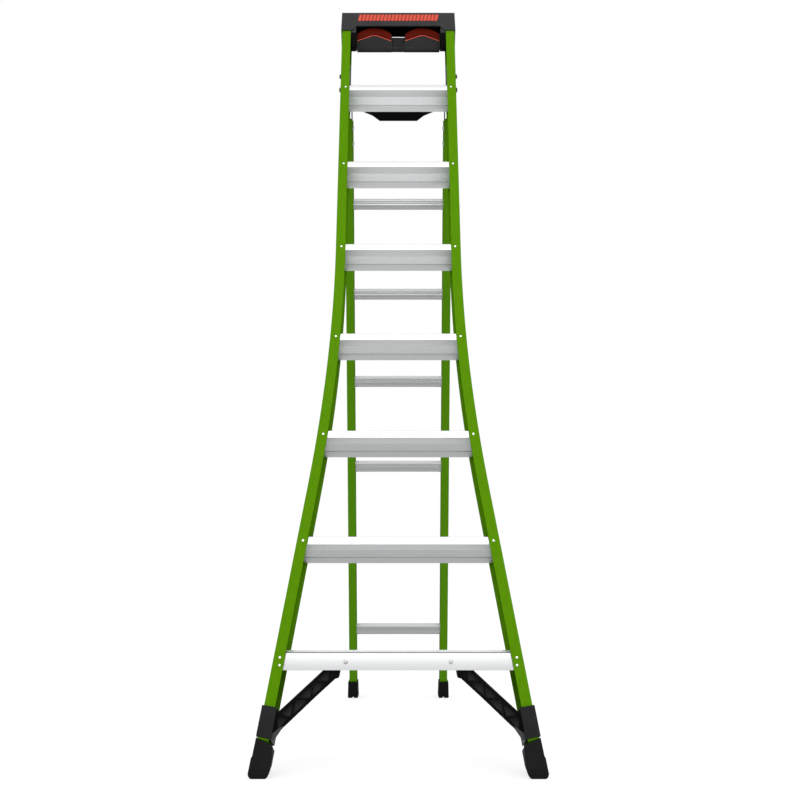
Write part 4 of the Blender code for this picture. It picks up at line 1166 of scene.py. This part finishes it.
def bead_piece(name, body, paths, paint, radius):
    """Sweep beads along paths; a path is a list of points and whether it closes."""
    spots, edges = [], []
    for path, closed in paths:
        start = len(spots)
        spots += path
        edges += [(start + index, start + index + 1) for index in range(len(path) - 1)]
        if closed:
            edges.append((len(spots) - 1, start))
    guide = bpy.data.meshes.new(name + "_guide")
    guide.from_pydata(spots, edges, [])
    made = settle(name, grown(name, guide, bead_tree, {"Bead Radius": radius}, paint), body, paint,
                  (), 60)
    print(name, "paths:", len(paths), "faces:", len(made.data.polygons))
    return made


# %% [markdown]
# ## Rims of the wall pads and their carrier
# Each pad's front end shows a chevron with a flat middle below and an arch above.  The rims
# follow both, read from the pad's own box.
# %% Pad rims
PAD_RISE = 0.0210
CHEVRON_HALF = 0.0080
CHEVRON_RISE = 0.0174
CHEVRON_TIP = 0.0008
ARCH_STEPS = 16


def pad_chevron(low, high, lift):
    """The lower edge of a pad's front end, raised by a distance."""
    middle = (low.x + high.x) / 2
    ridge = low.z + CHEVRON_RISE
    return [(low.x + 0.001, low.y, low.z + lift), (middle - CHEVRON_HALF, low.y, ridge + lift),
            (middle, low.y, ridge + CHEVRON_TIP + lift),
            (middle + CHEVRON_HALF, low.y, ridge + lift),
            (high.x - 0.001, low.y, low.z + lift)]


def pad_arch(low, high, inset):
    """The upper edge of a pad's front end, an arc through its crown."""
    half = (high.x - low.x) / 2
    radius = (half * half + PAD_RISE * PAD_RISE) / (2 * PAD_RISE)
    middle, centre_z = (low.x + high.x) / 2, high.z - radius
    spread = math.asin(half / radius) * 0.97
    turns = [spread * (2 * share / ARCH_STEPS - 1) for share in range(ARCH_STEPS + 1)]
    return [(middle + (radius - inset) * math.sin(turn), low.y,
             centre_z + (radius - inset) * math.cos(turn)) for turn in turns]


rims, ridges = [], []
for label, side in SIDES:
    low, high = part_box("wall_pad_" + label)
    rims.append((pad_chevron(low, high, 0.0015), False))
    ridges.append((pad_chevron(low, high, 0.0085), False))
    ridges.append((pad_arch(low, high, 0.0015), False))
# The rims' lighter red is a painted highlight.
bead_piece("pad_rims", "wall_pad", rims, lit_rim_red, 0.0012)
bead_piece("pad_ridges", "wall_pad", ridges, pad_rubber, 0.0009)

low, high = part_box("pad_carrier")
LIP_RISE = 0.0078
INNER_POST_TOP_Z = 2.2282
OUTER_POST_TOP_Z = 2.2065
lip_z = low.z + LIP_RISE
carrier_lines = [([(start, low.y, lip_z), (end, low.y, lip_z)], False)
                 for start, end in ((low.x + 0.006, -0.003), (0.003, high.x - 0.006))]
for edge in (low.x + 0.0008, -0.0223, 0.0223, high.x - 0.0008):
    top = INNER_POST_TOP_Z if abs(edge) < 0.03 else OUTER_POST_TOP_Z
    carrier_lines.append(([(edge, low.y, lip_z), (edge, low.y, top)], False))
bead_piece("carrier_lip", "wall_pad", carrier_lines, cap_plastic, 0.0008)
BRIDGE_EDGE = (0.0058, 2.2296)
bead_piece("bridge_wire", "wall_pad", [([(-0.0205, *BRIDGE_EDGE), (0.0205, *BRIDGE_EDGE)], False)],
           rivet_metal, 0.0014)

# %% [markdown]
# ## Front edge of the lowest tread
# A thin dark bead runs along the lowest tread's front, above the face: painted shade.
# %% Tread edge
low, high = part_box("bottom_step")
edge_y = step_corners(low, high.z, 0.0)[1][0] + 0.0012
edge_z = high.z + 0.0006
edge_half = half_width(along_of(edge_y, edge_z)) - END_GAP - RIB_END_MARGIN
# The dark bead is painted shade.
bead_piece("tread_shadow_line", "front_section",
           [([(-edge_half, edge_y, edge_z), (edge_half, edge_y, edge_z)], False)],
           crease_shade_metal, 0.0012)

# %% [markdown]
# ## Grip lines on the front boots
# The lines round a boot are level cuts through its own shape, so each bead follows the
# boot's outline whatever its slant.
# %% Boot lines
def level_outline(mesh, level):
    """Points of the largest loop where a horizontal plane cuts a mesh, in order."""
    cutting = bmesh.new()
    cutting.from_mesh(mesh)
    open_edges = bisected(cutting, (0, 0, level), (0, 0, 1), clear_outer=True)
    loops = []
    while open_edges:
        edge = open_edges.pop()
        loop = [edge.verts[0], edge.verts[1]]
        growing = True
        while growing:
            growing = False
            for candidate in open_edges:
                if loop[-1] in candidate.verts:
                    open_edges.remove(candidate)
                    loop.append(candidate.other_vert(loop[-1]))
                    growing = True
                    break
        loops.append([tuple(vert.co) for vert in loop[:-1]])
    cutting.free()
    return max(loops, key=lambda loop: max(p[0] for p in loop) - min(p[0] for p in loop))


BOOT_LEVELS = (0.0055, 0.0100, 0.0150, 0.0200)
boot_lines = []
for label, side in SIDES:
    boot = softened["front_foot_" + label].data
    boot_lines += [(level_outline(boot, level), True) for level in BOOT_LEVELS]
bead_piece("boot_lines", "front_section", boot_lines, black_and_shade_plastic, 0.0004)

# %% [markdown]
# ## Bolts on the lowest step
# Two button-head bolts hold the braces' tabs behind the lowest step's face.  A bright dome
# stands on a wider, flatter dark washer.
# %% Bolts on the lowest step
face_bolts = []
for label, side in SIDES:
    low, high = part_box("brace_bolt_" + label)
    head = ((low.x + high.x) / 2, *front_place(0.2790, RAIL_WALL))
    face_bolts.append((head, FRONT_FACING))
rivet_row("face_washers", "front_section", face_bolts, black_and_shade_plastic, 0.0045, 0.0012)
rivet_row("face_bolts", "front_section", face_bolts, rivet_metal, 0.0028, 0.0028)

# %% [markdown]
# ## A plain inlay on the cap
# The fascia carries a red inlay of slanted bars, a plain pattern with no lettering.  Each bar
# is a filleted rectangle, filled and given a thickness, and repeated along a line.
# %% Cap inlay
INLAY_INPUTS = (("Count", 22.0), ("Pitch", 0.012), ("Bar Width", 0.0095), ("Bar Length", 0.0275),
                ("Bar Height", 0.0010), ("Slant", 0.22))
inlay_tree, given = new_tree("slanted_bars", INLAY_INPUTS)
bar = add_node(inlay_tree, "GeometryNodeCurvePrimitiveQuadrilateral",
               {"Width": given["Bar Width"], "Height": given["Bar Length"]}, mode="RECTANGLE")
bar = add_node(inlay_tree, "GeometryNodeFilletCurve",
               {"Curve": bar.outputs["Curve"], "Count": 3, "Radius": 0.0014}, mode="POLY")
bar = add_node(inlay_tree, "GeometryNodeFillCurve", {"Curve": bar.outputs["Curve"]})
bar = add_node(inlay_tree, "GeometryNodeExtrudeMesh",
               {"Mesh": bar.outputs["Mesh"], "Offset Scale": given["Bar Height"]})
turned_bar = add_node(inlay_tree, "GeometryNodeTransform",
                      {"Geometry": bar.outputs["Mesh"],
                       "Rotation": point(inlay_tree, 0.0, 0.0,
                                         math_node(inlay_tree, "MULTIPLY", given["Slant"], -1.0))})
reach = math_node(inlay_tree, "MULTIPLY", given["Pitch"],
                  math_node(inlay_tree, "SUBTRACT", given["Count"], 1.0))
row = add_node(inlay_tree, "GeometryNodeMeshLine",
               {"Count": given["Count"],
                "Start Location": point(inlay_tree, math_node(inlay_tree, "MULTIPLY", reach, -0.5)),
                "Offset": point(inlay_tree, given["Pitch"])})
bars = add_node(inlay_tree, "GeometryNodeInstanceOnPoints",
                {"Points": row.outputs["Mesh"], "Instance": turned_bar.outputs["Geometry"]})
close_tree(inlay_tree, bars.outputs["Instances"], given["Surface"])

inlay = grown("inlay", bpy.data.meshes.new("inlay_line"), inlay_tree, {}, badge_red)
INLAY_ALONG = 2.4076
INLAY_DEPTH = -0.0052
inlay.transform(Matrix.Translation((0, *front_place(INLAY_ALONG, INLAY_DEPTH)))
                @ Matrix.Rotation(math.radians(90) - LEAN, 4, "X"))
settle("cap_inlay", inlay, "front_section", badge_red)
print("inlay bars:", int(INLAY_INPUTS[0][1]))
